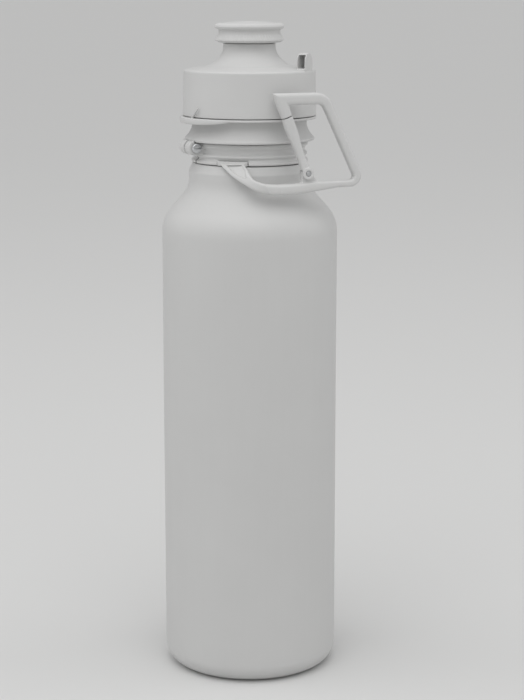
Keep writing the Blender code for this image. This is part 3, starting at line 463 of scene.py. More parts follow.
def coil(name: str, wall: float, crest: float, first_z: float,
         outwards: bool) -> bpy.types.Object:
    """A screw thread: a rounded ridge carried along a helix, z rising by the pitch in a turn.

    The crest sinks back into the wall over the first and last quarter turn.

    Args:
        name: the piece's name.
        wall: radius of the wall that the thread stands on.
        crest: radius of its crest.
        first_z: height of its start.
        outwards: whether it points away from the axis.

    Returns:
        The new object.
    """
    side = 1.0 if outwards else -1.0
    t = np.linspace(0.0, THREAD_TURNS, round(THREAD_TURNS * 160) + 1)
    strength = np.minimum(1.0, np.minimum(t, THREAD_TURNS - t) / 0.25)
    strength = np.sin(strength * math.pi / 2)
    root = wall - side * 0.4
    tip = (wall - side * 0.2) * (1 - strength) + crest * strength
    up = np.array([-0.95, -0.78, -0.5, -0.2, 0.2, 0.5, 0.78, 0.95])
    share = np.array([0.0, 0.42, 0.93, 1.0, 1.0, 0.93, 0.42, 0.0])
    radius = root + (tip[:, None] - root) * share[None, :]
    angle = (t * math.tau)[:, None]
    points = np.stack([radius * np.cos(angle), radius * np.sin(angle),
                       first_z + THREAD_PITCH * t[:, None] + up[None, :] + 0 * radius], axis=-1)
    return swept(name, points)


# ---- materials ----------------------------------------------------------------------------

class Value:
    """A wrapped output socket; sums and products with numbers or other values add Math nodes."""

    def __init__(self, graph: Graph, socket: bpy.types.NodeSocket) -> None:
        """Keeps the socket and the graph it belongs to."""
        self.graph = graph
        self.socket = socket

    def math(self, operation: str, *others: Value | float) -> Value:
        """A Math node on this value and others, such as MULTIPLY."""
        return self.graph.node("Math", {"operation": operation},
                               dict(enumerate((self, *others))))

    def __add__(self, other: Value | float) -> Value:
        """self + other"""
        return self.math("ADD", other)

    __radd__ = __add__

    def __sub__(self, other: Value | float) -> Value:
        """self - other"""
        return self.math("SUBTRACT", other)

    def __rsub__(self, other: float) -> Value:
        """other - self"""
        return self.math("MULTIPLY", -1.0) + other

    def __mul__(self, other: Value | float) -> Value:
        """self * other"""
        return self.math("MULTIPLY", other)

    __rmul__ = __mul__

    def rises(self, low: float, high: float) -> Value:
        """0 below low, 1 above high and a straight line between them."""
        return self.graph.node("MapRange", {"clamp": True},
                               {"Value": self, "From Min": low, "From Max": high})


class Graph:
    """The nodes of one material, with its Principled shader."""

    def __init__(self, name: str) -> None:
        """Starts a material with only a Principled shader and its output."""
        self.material = bpy.data.materials.new(name)
        self.material.use_nodes = True
        self.tree = self.material.node_tree
        self.shader = self.tree.nodes["Principled BSDF"]

    def node(self, kind: str, settings: dict[str, object] | None = None,
             inputs: dict[str | int, object] | None = None, output: str | int = 0) -> Value:
        """Adds a node.

        Args:
            kind: the node's type without its ShaderNode beginning.
            settings: its own settings, such as a Math node's operation, set first.
            inputs: numbers, tuples or values for its sockets, by name or index.
            output: which of its outputs is wanted.

        Returns:
            The wanted output.
        """
        made = self.tree.nodes.new("ShaderNode" + kind)
        for key, value in (settings or {}).items():
            setattr(made, key, value)
        for key, value in (inputs or {}).items():
            if isinstance(value, Value):
                self.tree.links.new(value.socket, made.inputs[key])
            else:
                made.inputs[key].default_value = value
        return Value(self, made.outputs[output])

    def place(self, scale: tuple[float, float, float] = (1.0, 1.0, 1.0)) -> Value:
        """The point's own place on the piece in metres, stretched by a Mapping node."""
        here = self.node("TexCoord", output="Object")
        return self.node("Mapping", {}, {"Vector": here, "Scale": scale})

    def noise(self, place: Value, scale: float, detail: float = 2.0) -> Value:
        """Cloudy noise from 0 to 1, with so many lumps to the metre."""
        return self.node("TexNoise", {}, {"Vector": place, "Scale": scale, "Detail": detail})

    def tint(self, low: Colour, high: Colour, mask: Value) -> Value:
        """A colour between two, by a mask from 0 to 1."""
        return self.node("Mix", {"data_type": "RGBA"},
                         {0: mask, 6: (*low, 1.0), 7: (*high, 1.0)}, 2)

    def finish(self, colour: Value, roughness: Value, height: Value,
               constants: dict[str, float]) -> bpy.types.Material:
        """Feeds the shader.

        Args:
            colour: the base colour.
            roughness: the roughness.
            height: the relief in millimetres.
            constants: numbers for the shader's other sockets.

        Returns:
            The material.
        """
        normal = self.node("Bump", {}, {"Strength": 1.0, "Distance": MM, "Height": height})
        for name, value in (("Base Color", colour), ("Roughness", roughness), ("Normal", normal)):
            self.tree.links.new(value.socket, self.shader.inputs[name])
        for name, number in constants.items():
            self.shader.inputs[name].default_value = number
        return self.material


def shaded(colour: Colour, factor: float) -> Colour:
    """A colour made lighter or darker by a factor."""
    return tuple(min(1.0, channel * factor) for channel in colour)


@dataclass(frozen=True)
class MouldedPlastic:
    """Hard moulded plastic: a fine eroded grain, slow flow marks and small rubbed specks."""

    name: str = "moulded_plastic"
    colour: Colour = (0.62, 0.62, 0.615)
    roughness: float = 0.46
    grain: float = 0.006
    flow: float = 0.012

    def make(self) -> bpy.types.Material:
        """Height is grain at 0.25 mm plus flow marks at 4 mm; the grain and a slow mottle nudge
        the colour.
        """
        graph = Graph(self.name)
        here = graph.place()
        grain = graph.noise(here, 3800.0, 2.0)
        flow = graph.noise(here, 260.0, 2.0)
        mottle = graph.noise(here, 55.0, 3.0)
        specks = graph.noise(here, 1400.0, 1.0).rises(0.66, 0.78)
        colour = graph.tint(shaded(self.colour, 0.955), shaded(self.colour, 1.03),
                            mottle * 0.75 + grain * 0.25)
        rough = mottle * 0.08 + specks * 0.10 + grain * 0.05 + (self.roughness - 0.08)
        height = grain * self.grain + flow * self.flow - specks * 0.006
        return graph.finish(colour, rough, height, {"IOR": 1.49})


@dataclass(frozen=True)
class SqueezePlastic:
    """Blown soft plastic: waxy, with faint upright draw marks, orange peel and a scuffed foot."""

    name: str = "squeeze_plastic"
    colour: Colour = (0.595, 0.595, 0.59)
    roughness: float = 0.50
    grain: float = 0.005
    peel: float = 0.020
    draw: float = 0.012

    def make(self) -> bpy.types.Material:
        """Height is grain, orange peel and draw marks, which are noise stretched along Z."""
        graph = Graph(self.name)
        here = graph.place()
        grain = graph.noise(here, 3000.0, 2.0)
        peel = graph.noise(here, 210.0, 2.0)
        mottle = graph.noise(here, 30.0, 4.0)
        draw = graph.noise(graph.place((1.0, 1.0, 0.05)), 320.0, 2.0)
        up = graph.node("SeparateXYZ", {}, {0: graph.node("TexCoord", output="Object")}, 2)
        foot = 1.0 - up.rises(0.001, 0.011)
        scuffs = graph.noise(graph.place((1.0, 1.0, 6.0)), 420.0, 3.0).rises(0.54, 0.68) * foot
        hairs = graph.noise(graph.place((0.6, 0.6, 9.0)), 260.0, 1.0).rises(0.70, 0.76)
        colour = graph.tint(shaded(self.colour, 0.95), shaded(self.colour, 1.035),
                            mottle * 0.8 + draw * 0.2 + scuffs * 0.4)
        rough = mottle * 0.10 + scuffs * 0.16 + hairs * 0.05 + (self.roughness - 0.06)
        height = (grain * self.grain + peel * self.peel + draw * self.draw
                  - scuffs * 0.02 - hairs * 0.004)
        return graph.finish(colour, rough, height,
                            {"IOR": 1.50, "Sheen Weight": 0.05, "Sheen Roughness": 0.5})


@dataclass(frozen=True)
class SoftRubber:
    """Soft grip rubber: matt, with a close stippled grain and a dusty bloom."""

    name: str = "soft_rubber"
    colour: Colour = (0.62, 0.62, 0.615)
    roughness: float = 0.68
    stipple: float = 0.014

    def make(self) -> bpy.types.Material:
        """Height is a cell pattern at 0.4 mm plus fine noise; the bloom is slow noise."""
        graph = Graph(self.name)
        here = graph.place()
        cells = graph.node("TexVoronoi", {"feature": "SMOOTH_F1"},
                           {"Vector": here, "Scale": 2400.0, "Smoothness": 0.6})
        fine = graph.noise(here, 5200.0, 2.0)
        bloom = graph.noise(here, 70.0, 4.0)
        colour = graph.tint(shaded(self.colour, 0.93), shaded(self.colour, 1.04),
                            bloom * 0.8 + fine * 0.2)
        rough = bloom * 0.14 + fine * 0.06 + (self.roughness - 0.10)
        height = cells * -self.stipple + fine * 0.006
        return graph.finish(colour, rough, height,
                            {"IOR": 1.45, "Sheen Weight": 0.12, "Sheen Roughness": 0.6})


@dataclass(frozen=True)
class SatinSteel:
    """Plated steel: fine turning lines, a soft haze and a few dull spots."""

    name: str = "satin_steel"
    colour: Colour = (0.63, 0.64, 0.65)
    roughness: float = 0.34

    def make(self) -> bpy.types.Material:
        """Height is noise stretched along one axis into lines; spots raise the roughness."""
        graph = Graph(self.name)
        lines = graph.noise(graph.place((0.06, 1.0, 1.0)), 6500.0, 3.0)
        haze = graph.noise(graph.place(), 420.0, 3.0)
        spots = graph.noise(graph.place(), 1900.0, 1.0).rises(0.62, 0.72)
        colour = graph.tint(shaded(self.colour, 0.86), shaded(self.colour, 1.06),
                            haze * 0.7 + lines * 0.3)
        rough = haze * 0.14 + lines * 0.08 + spots * 0.2 + (self.roughness - 0.1)
        return graph.finish(colour, rough, lines * 0.004 - spots * 0.003, {"Metallic": 1.0})


@dataclass(frozen=True)
class PaleFloor:
    """A plain pale studio floor with a barely uneven matt coat."""

    name: str = "studio_floor"
    colour: Colour = (0.66, 0.66, 0.655)

    def make(self) -> bpy.types.Material:
        """Slow noise moves the roughness and a close grain gives the relief."""
        graph = Graph(self.name)
        here = graph.place()
        cloud = graph.noise(here, 3.0, 2.0)
        grain = graph.noise(here, 700.0, 2.0)
        colour = graph.tint(shaded(self.colour, 0.995), shaded(self.colour, 1.005), cloud)
        return graph.finish(colour, cloud * 0.06 + 0.82, grain * 0.02, {})


@dataclass
class Palette:
    """The finishes, each made once and shared by its pieces."""

    squeeze: bpy.types.Material = field(default_factory=lambda: SqueezePlastic().make())
    hard: bpy.types.Material = field(
        default_factory=lambda: MouldedPlastic("cap_plastic").make())
    collar: bpy.types.Material = field(
        default_factory=lambda: MouldedPlastic("clip_plastic", (0.63, 0.63, 0.625), 0.43,
                                               0.005, 0.008).make())
    rubber: bpy.types.Material = field(default_factory=lambda: SoftRubber().make())
    seal: bpy.types.Material = field(
        default_factory=lambda: SoftRubber("seal_rubber", (0.60, 0.60, 0.60), 0.6, 0.006).make())
    steel: bpy.types.Material = field(default_factory=lambda: SatinSteel().make())


class Slot(Enum):
    """The record's material slots."""

    SQUEEZE = "squeeze_plastic"
    SEAL = "seal_rubber"
    HARD = "hard_plastic"
    GRIP = "grip_rubber"
    COLLAR = "collar_plastic"
    STEEL = "steel"


class Body(Enum):
    """The CAD bodies that pieces ride on."""

    BOTTLE = "bottle"
    GASKET = "gasket"
    CAP = "cap"
    NOZZLE = "nozzle"
    RING = "ring"
    COLLAR = "collar"
    GATE = "gate"


def dressed(piece: bpy.types.Object, finish: bpy.types.Material, slot: Slot, body: Body,
            *nodes: str) -> bpy.types.Object:
    """Gives a piece its finish and body, and hides the CAD nodes that it stands for.

    Args:
        piece: the piece.
        finish: its material.
        slot: the record's slot for it; not used.
        body: what it rides on.
        nodes: the CAD nodes that it replaces.

    Returns:
        The piece.
    """
    piece.data.materials.clear()
    piece.data.materials.append(finish)
    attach(piece, body.value)
    if nodes:
        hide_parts(*nodes)
    LOG.info("%s: %d faces, rides on %s", piece.name, len(piece.data.polygons), body.value)
    return piece


# ---- the bottle ---------------------------------------------------------------------------

@dataclass
class Bottle:
    """The blown bottle: foot, wall, shoulder, collar seat, flange and threaded mouth."""

    palette: Palette
    radius: float = 36.5
    wall_top: float = 186.5
    foot: float = 7.9
    wall: float = 1.2
    neck_wall: float = 1.5
    floor: float = 1.6
    stem: float = 25.2
    stem_rise: float = 23.0
    pull_up: float = 12.65
    pull_down: float = 9.43
    seat: float = 21.4
    seat_gap: float = 0.4
    neck: float = 23.7
    flange: float = 26.8
    flange_rise: float = 8.9
    taper_rise: float = 7.1
    bore: float = 22.0
    thread_crest: float = 25.0
    thread_rise: float = 3.6
    seam: float = 0.10
    seam_angle: float = 0.0045
    wobble: float = 0.06

    def outline(self) -> tuple[Array, Array]:
        """The half-section from axis to axis: up the outside to the mouth, then down inside.

        Returns:
            The points and a mask that is 1 on the outside.
        """
        mouth = span("bottle_body")[1]
        stem_z = self.wall_top + self.stem_rise
        low = span("collar_band")[0]
        ledge = low - self.seat_gap
        flange_z = low + self.flange_rise
        taper = flange_z + self.taper_rise
        join = (self.neck, mouth - 3.0, 0.0)
        base = [(0.0, 0.35, 0.0), (9.0, 0.30, 6.0), (14.6, 0.0, 0.5), (15.9, 0.7, 0.6),
                (18.1, 0.7, 0.6), (19.4, 0.0, 0.5), (self.radius, 0.0, self.foot),
                (self.radius, self.foot + 8.0, 0.0)]
        shoulder = plain(bezier(((self.radius, self.wall_top),
                                 (self.radius, self.wall_top + self.pull_up),
                                 (self.stem, stem_z - self.pull_down), (self.stem, stem_z)), 40))
        upper = [(self.stem, stem_z + 3.0, 1.6), (self.neck + 0.4, stem_z + 5.7, 0.8),
                 (self.neck, ledge, 0.25), (self.seat, ledge, 0.3),
                 (self.seat, flange_z, 0.3), (self.flange, flange_z, 0.2),
                 (self.flange, flange_z + 0.8, 0.35)]
        fade = plain(bezier(((self.flange - 0.25, flange_z + 1.25),
                             (self.neck + 0.93, flange_z + 2.9),
                             (self.neck, taper - 1.8), (self.neck, taper)), 14))
        top = [(self.neck, mouth, 0.45), (self.bore, mouth, 0.35)]
        outside = densified(rounded([*base, *shoulder, *upper, *fade, join], False), 3.5, False)
        inner = self.radius - self.wall
        stem_bore = self.stem - self.neck_wall
        seat_bore = self.seat - self.neck_wall
        back = [(self.bore, taper - 3.0, 2.0), (seat_bore, flange_z, 2.0),
                (seat_bore, low - 1.9, 2.0), (stem_bore, stem_z, 0.0)]
        down = plain(bezier(((stem_bore, stem_z), (stem_bore, stem_z - self.pull_down),
                             (inner, self.wall_top + self.pull_up - self.wall),
                             (inner, self.wall_top - self.wall)), 24)[1:])
        floor = [(inner, self.floor, self.foot - self.wall), (0.0, self.floor, 0.0)]
        inside = densified(rounded([join, *top, *back, *down, *floor], False), 8.0, False)[1:]
        points = np.concatenate([outside, inside])
        mask = np.concatenate([np.ones(len(outside)), np.zeros(len(inside))])
        return points, mask

    def angles(self) -> Array:
        """Even turns of the circle with four more on each side of the two mould seams."""
        even = np.arange(176) * (math.tau / 176) + math.tau / 352
        near = np.array([-0.0105, -0.0065, -0.0035, 0.0, 0.0035, 0.0065, 0.0105])
        return np.unique(np.round(np.concatenate([even, near % math.tau, near + math.pi]), 7))

    def body(self) -> bpy.types.Object:
        """Revolves the outline; the radius gains a seam bead and a slow low wave.

        The seam is seam * exp(-(angle off / seam_angle)^2) at both ends of X. The wave is
        wobble * (sin(3a + z / 31) + 0.6 sin(5a - z / 47)) times a belt that is 1 in the middle
        of the wall and 0 at the foot and the shoulder.

        Returns:
            The bottle's body.
        """
        outline, mask = self.outline()
        side = mask[:, None]

        def swell(a: Array, r: Array, z: Array) -> Array:
            """The seam's bead on the outside plus the slow wave."""
            off = (a + math.pi / 2) % math.pi - math.pi / 2
            bead = self.seam * np.exp(-(off / self.seam_angle) ** 2)
            bead = bead * (z > 2.0) * (r > self.stem - GAP)
            belt = smoothstep(14.0, 60.0, z) * (1.0 - smoothstep(120.0, 184.0, z))
            slow = np.sin(3.0 * a + z / 31.0) + 0.6 * np.sin(5.0 * a - z / 47.0)
            return side * bead + self.wobble * belt * slow

        return revolved("bottle_blown", outline, self.angles(), False, swell)

    def build(self) -> None:
        """Makes the body and the thread on its neck."""
        dressed(self.body(), self.palette.squeeze, Slot.SQUEEZE, Body.BOTTLE, "bottle_body")
        first = span("cap_shell")[0] + self.thread_rise
        thread = coil("neck_thread", self.neck, self.thread_crest, first, True)
        dressed(thread, self.palette.squeeze, Slot.SQUEEZE, Body.BOTTLE, "bottle_body")


# ---- the cap ------------------------------------------------------------------------------

@dataclass
class Cap:
    """The screw cap: skirt, sloping top, flared spout, lug, thread, gasket and spout pin."""

    palette: Palette
    foot_radius: float = 27.65
    radius: float = 27.2
    bore: float = 25.4
    flare: float = 19.6
    ledge: float = 10.75
    tube: float = 9.0
    bead: float = 9.8
    tube_bore: float = 7.4
    sill: float = 6.5
    crown_rise: float = 1.2
    ledge_rise: float = 9.4
    seal_gap: float = 0.4
    seal_width: float = 4.0
    thread_crest: float = 24.1
    thread_rise: float = 1.6
    post: float = 2.2
    plug: float = 2.9
    hoop_width: float = 1.2
    hoop_height: float = 1.6
    lug_azimuth: float = 64.0
    lug_width: float = 7.0
    lug_height: float = 7.0
    lug_thickness: float = 3.9
    lug_inset: float = 0.25
    lug_sink: float = 1.2
    lug_wall: float = 0.8
    lug_side: float = 0.42

    def shoulder(self) -> float:
        """Height where the skirt turns into the sloping top, over the gasket's ceiling."""
        return span("cap_gasket")[1] + 2.2

    def shell(self) -> bpy.types.Object:
        """Revolves the cap's closed section; the spout's flare is a cubic curve."""
        base, tube_top = span("cap_shell")
        shoulder = self.shoulder()
        top = shoulder + self.crown_rise
        ceiling = span("cap_gasket")[1] + GAP
        ledge_z = top + self.ledge_rise
        seat = span("spout_pin")[0] - GAP
        flare = bezier(((self.flare, top), (self.flare - 3.6, top), (self.ledge, top + 3.6),
                        (self.ledge, top + 8.2)), 30)
        funnel = bezier(((self.sill, seat - 0.9), (self.sill + 0.6, top + 1.4),
                         (self.flare - 4.15, top - 2.3), (self.flare - 1.15, top - 2.3)), 20)
        corners = [(self.bore, base, 0.3), (self.foot_radius, base, 0.35),
                   (self.radius, shoulder - 0.1, 1.0)]
        corners += plain(flare)
        corners += [(self.ledge, ledge_z, 0.35), (self.tube, ledge_z, 0.25),
                    (self.tube, tube_top - 0.7, 0.15), (self.bead, tube_top - 0.7, 0.2),
                    (self.bead, tube_top, 0.35), (self.tube_bore, tube_top, 0.3),
                    (self.tube_bore, seat, 0.0), (self.sill, seat, 0.2)]
        corners += plain(funnel)
        corners += [(self.flare + 0.6, ceiling, 0.6), (self.bore, ceiling, 0.5)]
        outline = densified(rounded(corners, True), 1.6, True)
        return revolved("cap_moulding", outline, 224)

    def lug(self) -> bpy.types.Object:
        """The arched lug: an upright arch on a spread foot, hollowed from one end like a hood."""
        half, sink = self.lug_width / 2, self.lug_sink
        spring = self.lug_height - half
        radius = self.radius - self.lug_inset - self.lug_thickness / 2
        place = frame_at(self.lug_azimuth, radius, self.shoulder())
        arch = np.concatenate([[(-half, -sink), (half, -sink)],
                               circle((0.0, spring), half, 0.0, 180.0, 28)])
        upright = prism("lug_arch", arch, self.lug_thickness / 2, place)
        foot = np.array([(-half - 0.4, -sink), (half + 0.4, -sink), (half + 0.4, 0.45),
                         (-half - 0.4, 0.45)])
        inside = frame_at(self.lug_azimuth, radius - 0.4, self.shoulder())
        spread = prism("lug_foot", foot, self.lug_thickness / 2 - 0.1, inside)
        hollow, mouth = half - self.lug_wall, -half - self.lug_wall
        pocket = np.concatenate([[(mouth, self.lug_wall), (hollow, self.lug_wall)],
                                 circle((0.0, spring), hollow, 0.0, 90.0, 14),
                                 [(mouth, spring + hollow)]])
        scoop = prism("lug_hollow", pocket, self.lug_thickness / 2 - self.lug_side, place)
        whole = cut(joined("lug", [upright, spread]), scoop)
        return moulded("cap_lug", [whole], 0.13, 5)

    def gasket(self) -> bpy.types.Object:
        """The flat seal: a rounded rectangle turned about the axis."""
        low, high = span("cap_gasket")
        outer = self.bore - self.seal_gap
        inner = outer - self.seal_width
        corners = [(outer, low, 0.3), (outer, high, 0.3), (inner, high, 0.3), (inner, low, 0.3)]
        return revolved("cap_seal", densified(rounded(corners, True), 0.8, True), 160)

    def pin(self) -> bpy.types.Object:
        """The spout's pin: a turned post with a plug head on a ring with three spokes."""
        low, high = span("spout_pin")
        neck = high - self.plug - 0.2
        post = [(0.0, low, 0.0), (self.post, low, 0.3), (self.post, neck, 0.3),
                (self.plug, neck + 0.7, 0.25), (self.plug, high, 0.45), (0.0, high, 0.0)]
        head = revolved("pin_post", densified(rounded(post, False), 0.8, False), 72, False)
        outer, top = self.tube_bore - GAP, low + self.hoop_height
        inner = outer - self.hoop_width
        rim = [(outer, low, 0.25), (outer, top, 0.25), (inner, top, 0.25), (inner, low, 0.25)]
        hoop = revolved("pin_hoop", densified(rounded(rim, True), 0.8, True), 96)
        wide, tall, reach = self.hoop_height / 2, 0.65, 3.25
        flat = np.array([(-wide, -tall), (wide, -tall), (wide, tall), (-wide, tall)])
        spokes = [prism(f"pin_spoke_{turn + 1}", flat, reach,
                        frame_at(120.0 * turn, reach, low + wide)) for turn in range(3)]
        return moulded("spout_plug", [head, hoop, *spokes], 0.14, 3)

    def build(self) -> None:
        """Makes the shell, its thread and lug, the gasket and the pin."""
        first = span("cap_shell")[0] + self.thread_rise
        hard = self.palette.hard
        dressed(self.shell(), hard, Slot.HARD, Body.CAP, "cap_shell")
        thread = coil("cap_thread", self.bore, self.thread_crest, first, False)
        dressed(thread, hard, Slot.HARD, Body.CAP, "cap_shell")
        dressed(self.lug(), hard, Slot.HARD, Body.CAP, "cap_shell")
        dressed(self.gasket(), self.palette.seal, Slot.SEAL, Body.GASKET, "cap_gasket")
        dressed(self.pin(), hard, Slot.HARD, Body.CAP, "spout_pin")


# ---- the nozzle ---------------------------------------------------------------------------

@dataclass
class Nozzle:
    """The pull nozzle: a hard cup with a hole in its dome and a soft sleeve with two flanges."""

    palette: Palette
    lip_bore: float = 9.3
    bore: float = 10.1
    radius: float = 11.2
    hole: float = 3.2
    waist: float = 12.7
    lower: float = 14.1
    upper: float = 14.4
    flutes: int = 64
    flute_depth: float = 0.06

    def core(self) -> bpy.types.Object:
        """Revolves the cup's closed section."""
        base, top = span("nozzle_core")
        ceiling = top - 2.2
        corners = [(self.hole, ceiling, 0.25), (self.hole, top - 0.05, 0.45),
                   (0.5 * self.radius, top, 2.0), (0.8 * self.radius, top - 0.28, 2.0),
                   (self.radius, top - 0.75, 0.2), (self.radius, base, 0.2),
                   (self.lip_bore, base, 0.2), (self.lip_bore, base + 1.0, 0.15),
                   (self.bore, base + 1.0, 0.1), (self.bore, ceiling, 0.5)]
        return revolved("nozzle_cup", densified(rounded(corners, True), 0.9, True), 160)

    def grip(self) -> bpy.types.Object:
        """Revolves the sleeve; flutes, depth * (cos(n a) - 1), press into its lower flange."""
        base, top = span("nozzle_grip")
        bore = self.radius + GAP
        corners = [(bore, base, 0.2), (self.lower - 1.5, base, 0.4),
                   (self.lower, base + 0.8, 0.35),
                   (self.lower - 0.1, base + 1.5, 0.5), (self.waist + 0.2, base + 3.4, 1.3),
                   (self.waist, base + 4.4, 0.9), (self.waist + 0.15, top - 2.6, 0.4),
                   (self.upper - 0.4, top - 2.15, 0.45), (self.upper, top - 1.35, 0.6),
                   (self.upper - 0.4, top - 0.5, 0.6), (self.upper - 1.4, top - 0.05, 0.8),
                   (bore, top, 0.3)]
        outline = densified(rounded(corners, True), 0.45, True)

        def swell(a: Array, r: Array, z: Array) -> Array:
            """The flutes, faded out above and below the lower flange."""
            band = smoothstep(base + 0.3, base + 1.0, z)
            band = band * (1.0 - smoothstep(base + 2.4, base + 4.0, z)) * (r > self.waist + 0.1)
            return self.flute_depth * (np.cos(self.flutes * a) - 1.0) * band

        return revolved("nozzle_sleeve", outline, 512, True, swell)

    def build(self) -> None:
        """Makes the cup and its sleeve."""
        dressed(self.core(), self.palette.hard, Slot.HARD, Body.NOZZLE, "nozzle_core")
        dressed(self.grip(), self.palette.rubber, Slot.GRIP, Body.NOZZLE, "nozzle_grip")


# ---- the ring with the tab ----------------------------------------------------------------

@dataclass
class TabRing:
    """The loose thin ring under the cap, with a lens-shaped thumb tab and a slanting tail."""

    palette: Palette
    bore: float = 24.0
    radius: float = 27.8
    tab_radius: float = 29.25
    thickness: float = 1.1
    tab_depth: float = 2.6
    fullness: float = 0.6
    tab_azimuth: float = -62.0
    tab_span: float = 88.0
    tail_azimuth: float = -56.0
    tail_rise: float = 4.4
    tail_lean: float = 10.0
    tail_size: float = 1.1

    def ring(self) -> bpy.types.Object:
        """Carries a ring section round the axis.

        The tab's swell is cos(90 deg * off / half span)^fullness; it pushes the rim out and down.

        Returns:
            The ring.
        """
        top = span("cap_shell")[0] - GAP
        azimuth = np.arange(480) * 0.75 + self.tab_azimuth
        off = (azimuth - self.tab_azimuth + 180.0) % 360.0 - 180.0
        share = np.minimum(1.0, np.abs(off) / (self.tab_span / 2))
        swell = np.maximum(np.cos(np.radians(90.0 * share)), 0.0) ** self.fullness
        outer = self.radius + (self.tab_radius - self.radius) * swell
        low = top - self.thickness - (self.tab_depth - self.thickness) * swell
        step = np.full_like(outer, self.radius - 1.0)
        full = np.zeros_like(outer)
        middle = (top + low) / 2
        half = (top - low) / 2
        section = [(full + self.bore, full + top - 0.2), (full + self.bore + 0.2, full + top),
                   (step - 1.2, full + top), (step, full + top),
                   (outer - 0.35, full + top - 0.03), (outer - 0.1, full + top - 0.2),
                   (outer, middle + half * 0.35), (outer, middle - half * 0.35),
                   (outer - 0.1, low + 0.22), (outer - 0.35, low + 0.04),
                   (step - 0.15, low), (step - 0.75, (low + top - self.thickness) / 2),
                   (step - 1.5, full + top - self.thickness),
                   (full + self.bore + 0.2, full + top - self.thickness),
                   (full + self.bore, full + top - self.thickness + 0.2)]
        radius = np.stack([r for r, _ in section], axis=1)
        height = np.stack([z for _, z in section], axis=1)
        points = around(azimuth[:, None], radius, height)
        return skin("ring_band", points, grid_faces(len(azimuth), len(section), True, True))

    def tail(self) -> bpy.types.Object:
        """A short rounded bar that leans and tapers as it rises from the tab."""
        top = span("cap_shell")[0] - GAP
        t = np.linspace(0.0, 1.0, 24)
        azimuth = self.tail_azimuth + self.tail_lean * t
        size = self.tail_size / 2 * (1.0 - 0.3 * t) * np.sqrt(np.clip((1.04 - t) * 9.0, 0.0, 1.0))
        middle = self.tab_radius - 0.2 - self.tail_size / 2
        centres = around(azimuth, middle, top - 0.6 + (self.tail_rise + 0.55) * t)
        wides = around(azimuth + 90.0, size, 0.0)
        thicks = around(azimuth, size, 0.0)
        return swept("ring_tail", bar(centres, wides, thicks, 2.6, 20))

    def build(self) -> None:
        """Melts the ring and its tail into one."""
        whole = moulded("thumb_ring", [self.ring(), self.tail()], 0.2, 3)
        dressed(whole, self.palette.hard, Slot.HARD, Body.RING, "tab_ring")


# ---- the collar ---------------------------------------------------------------------------

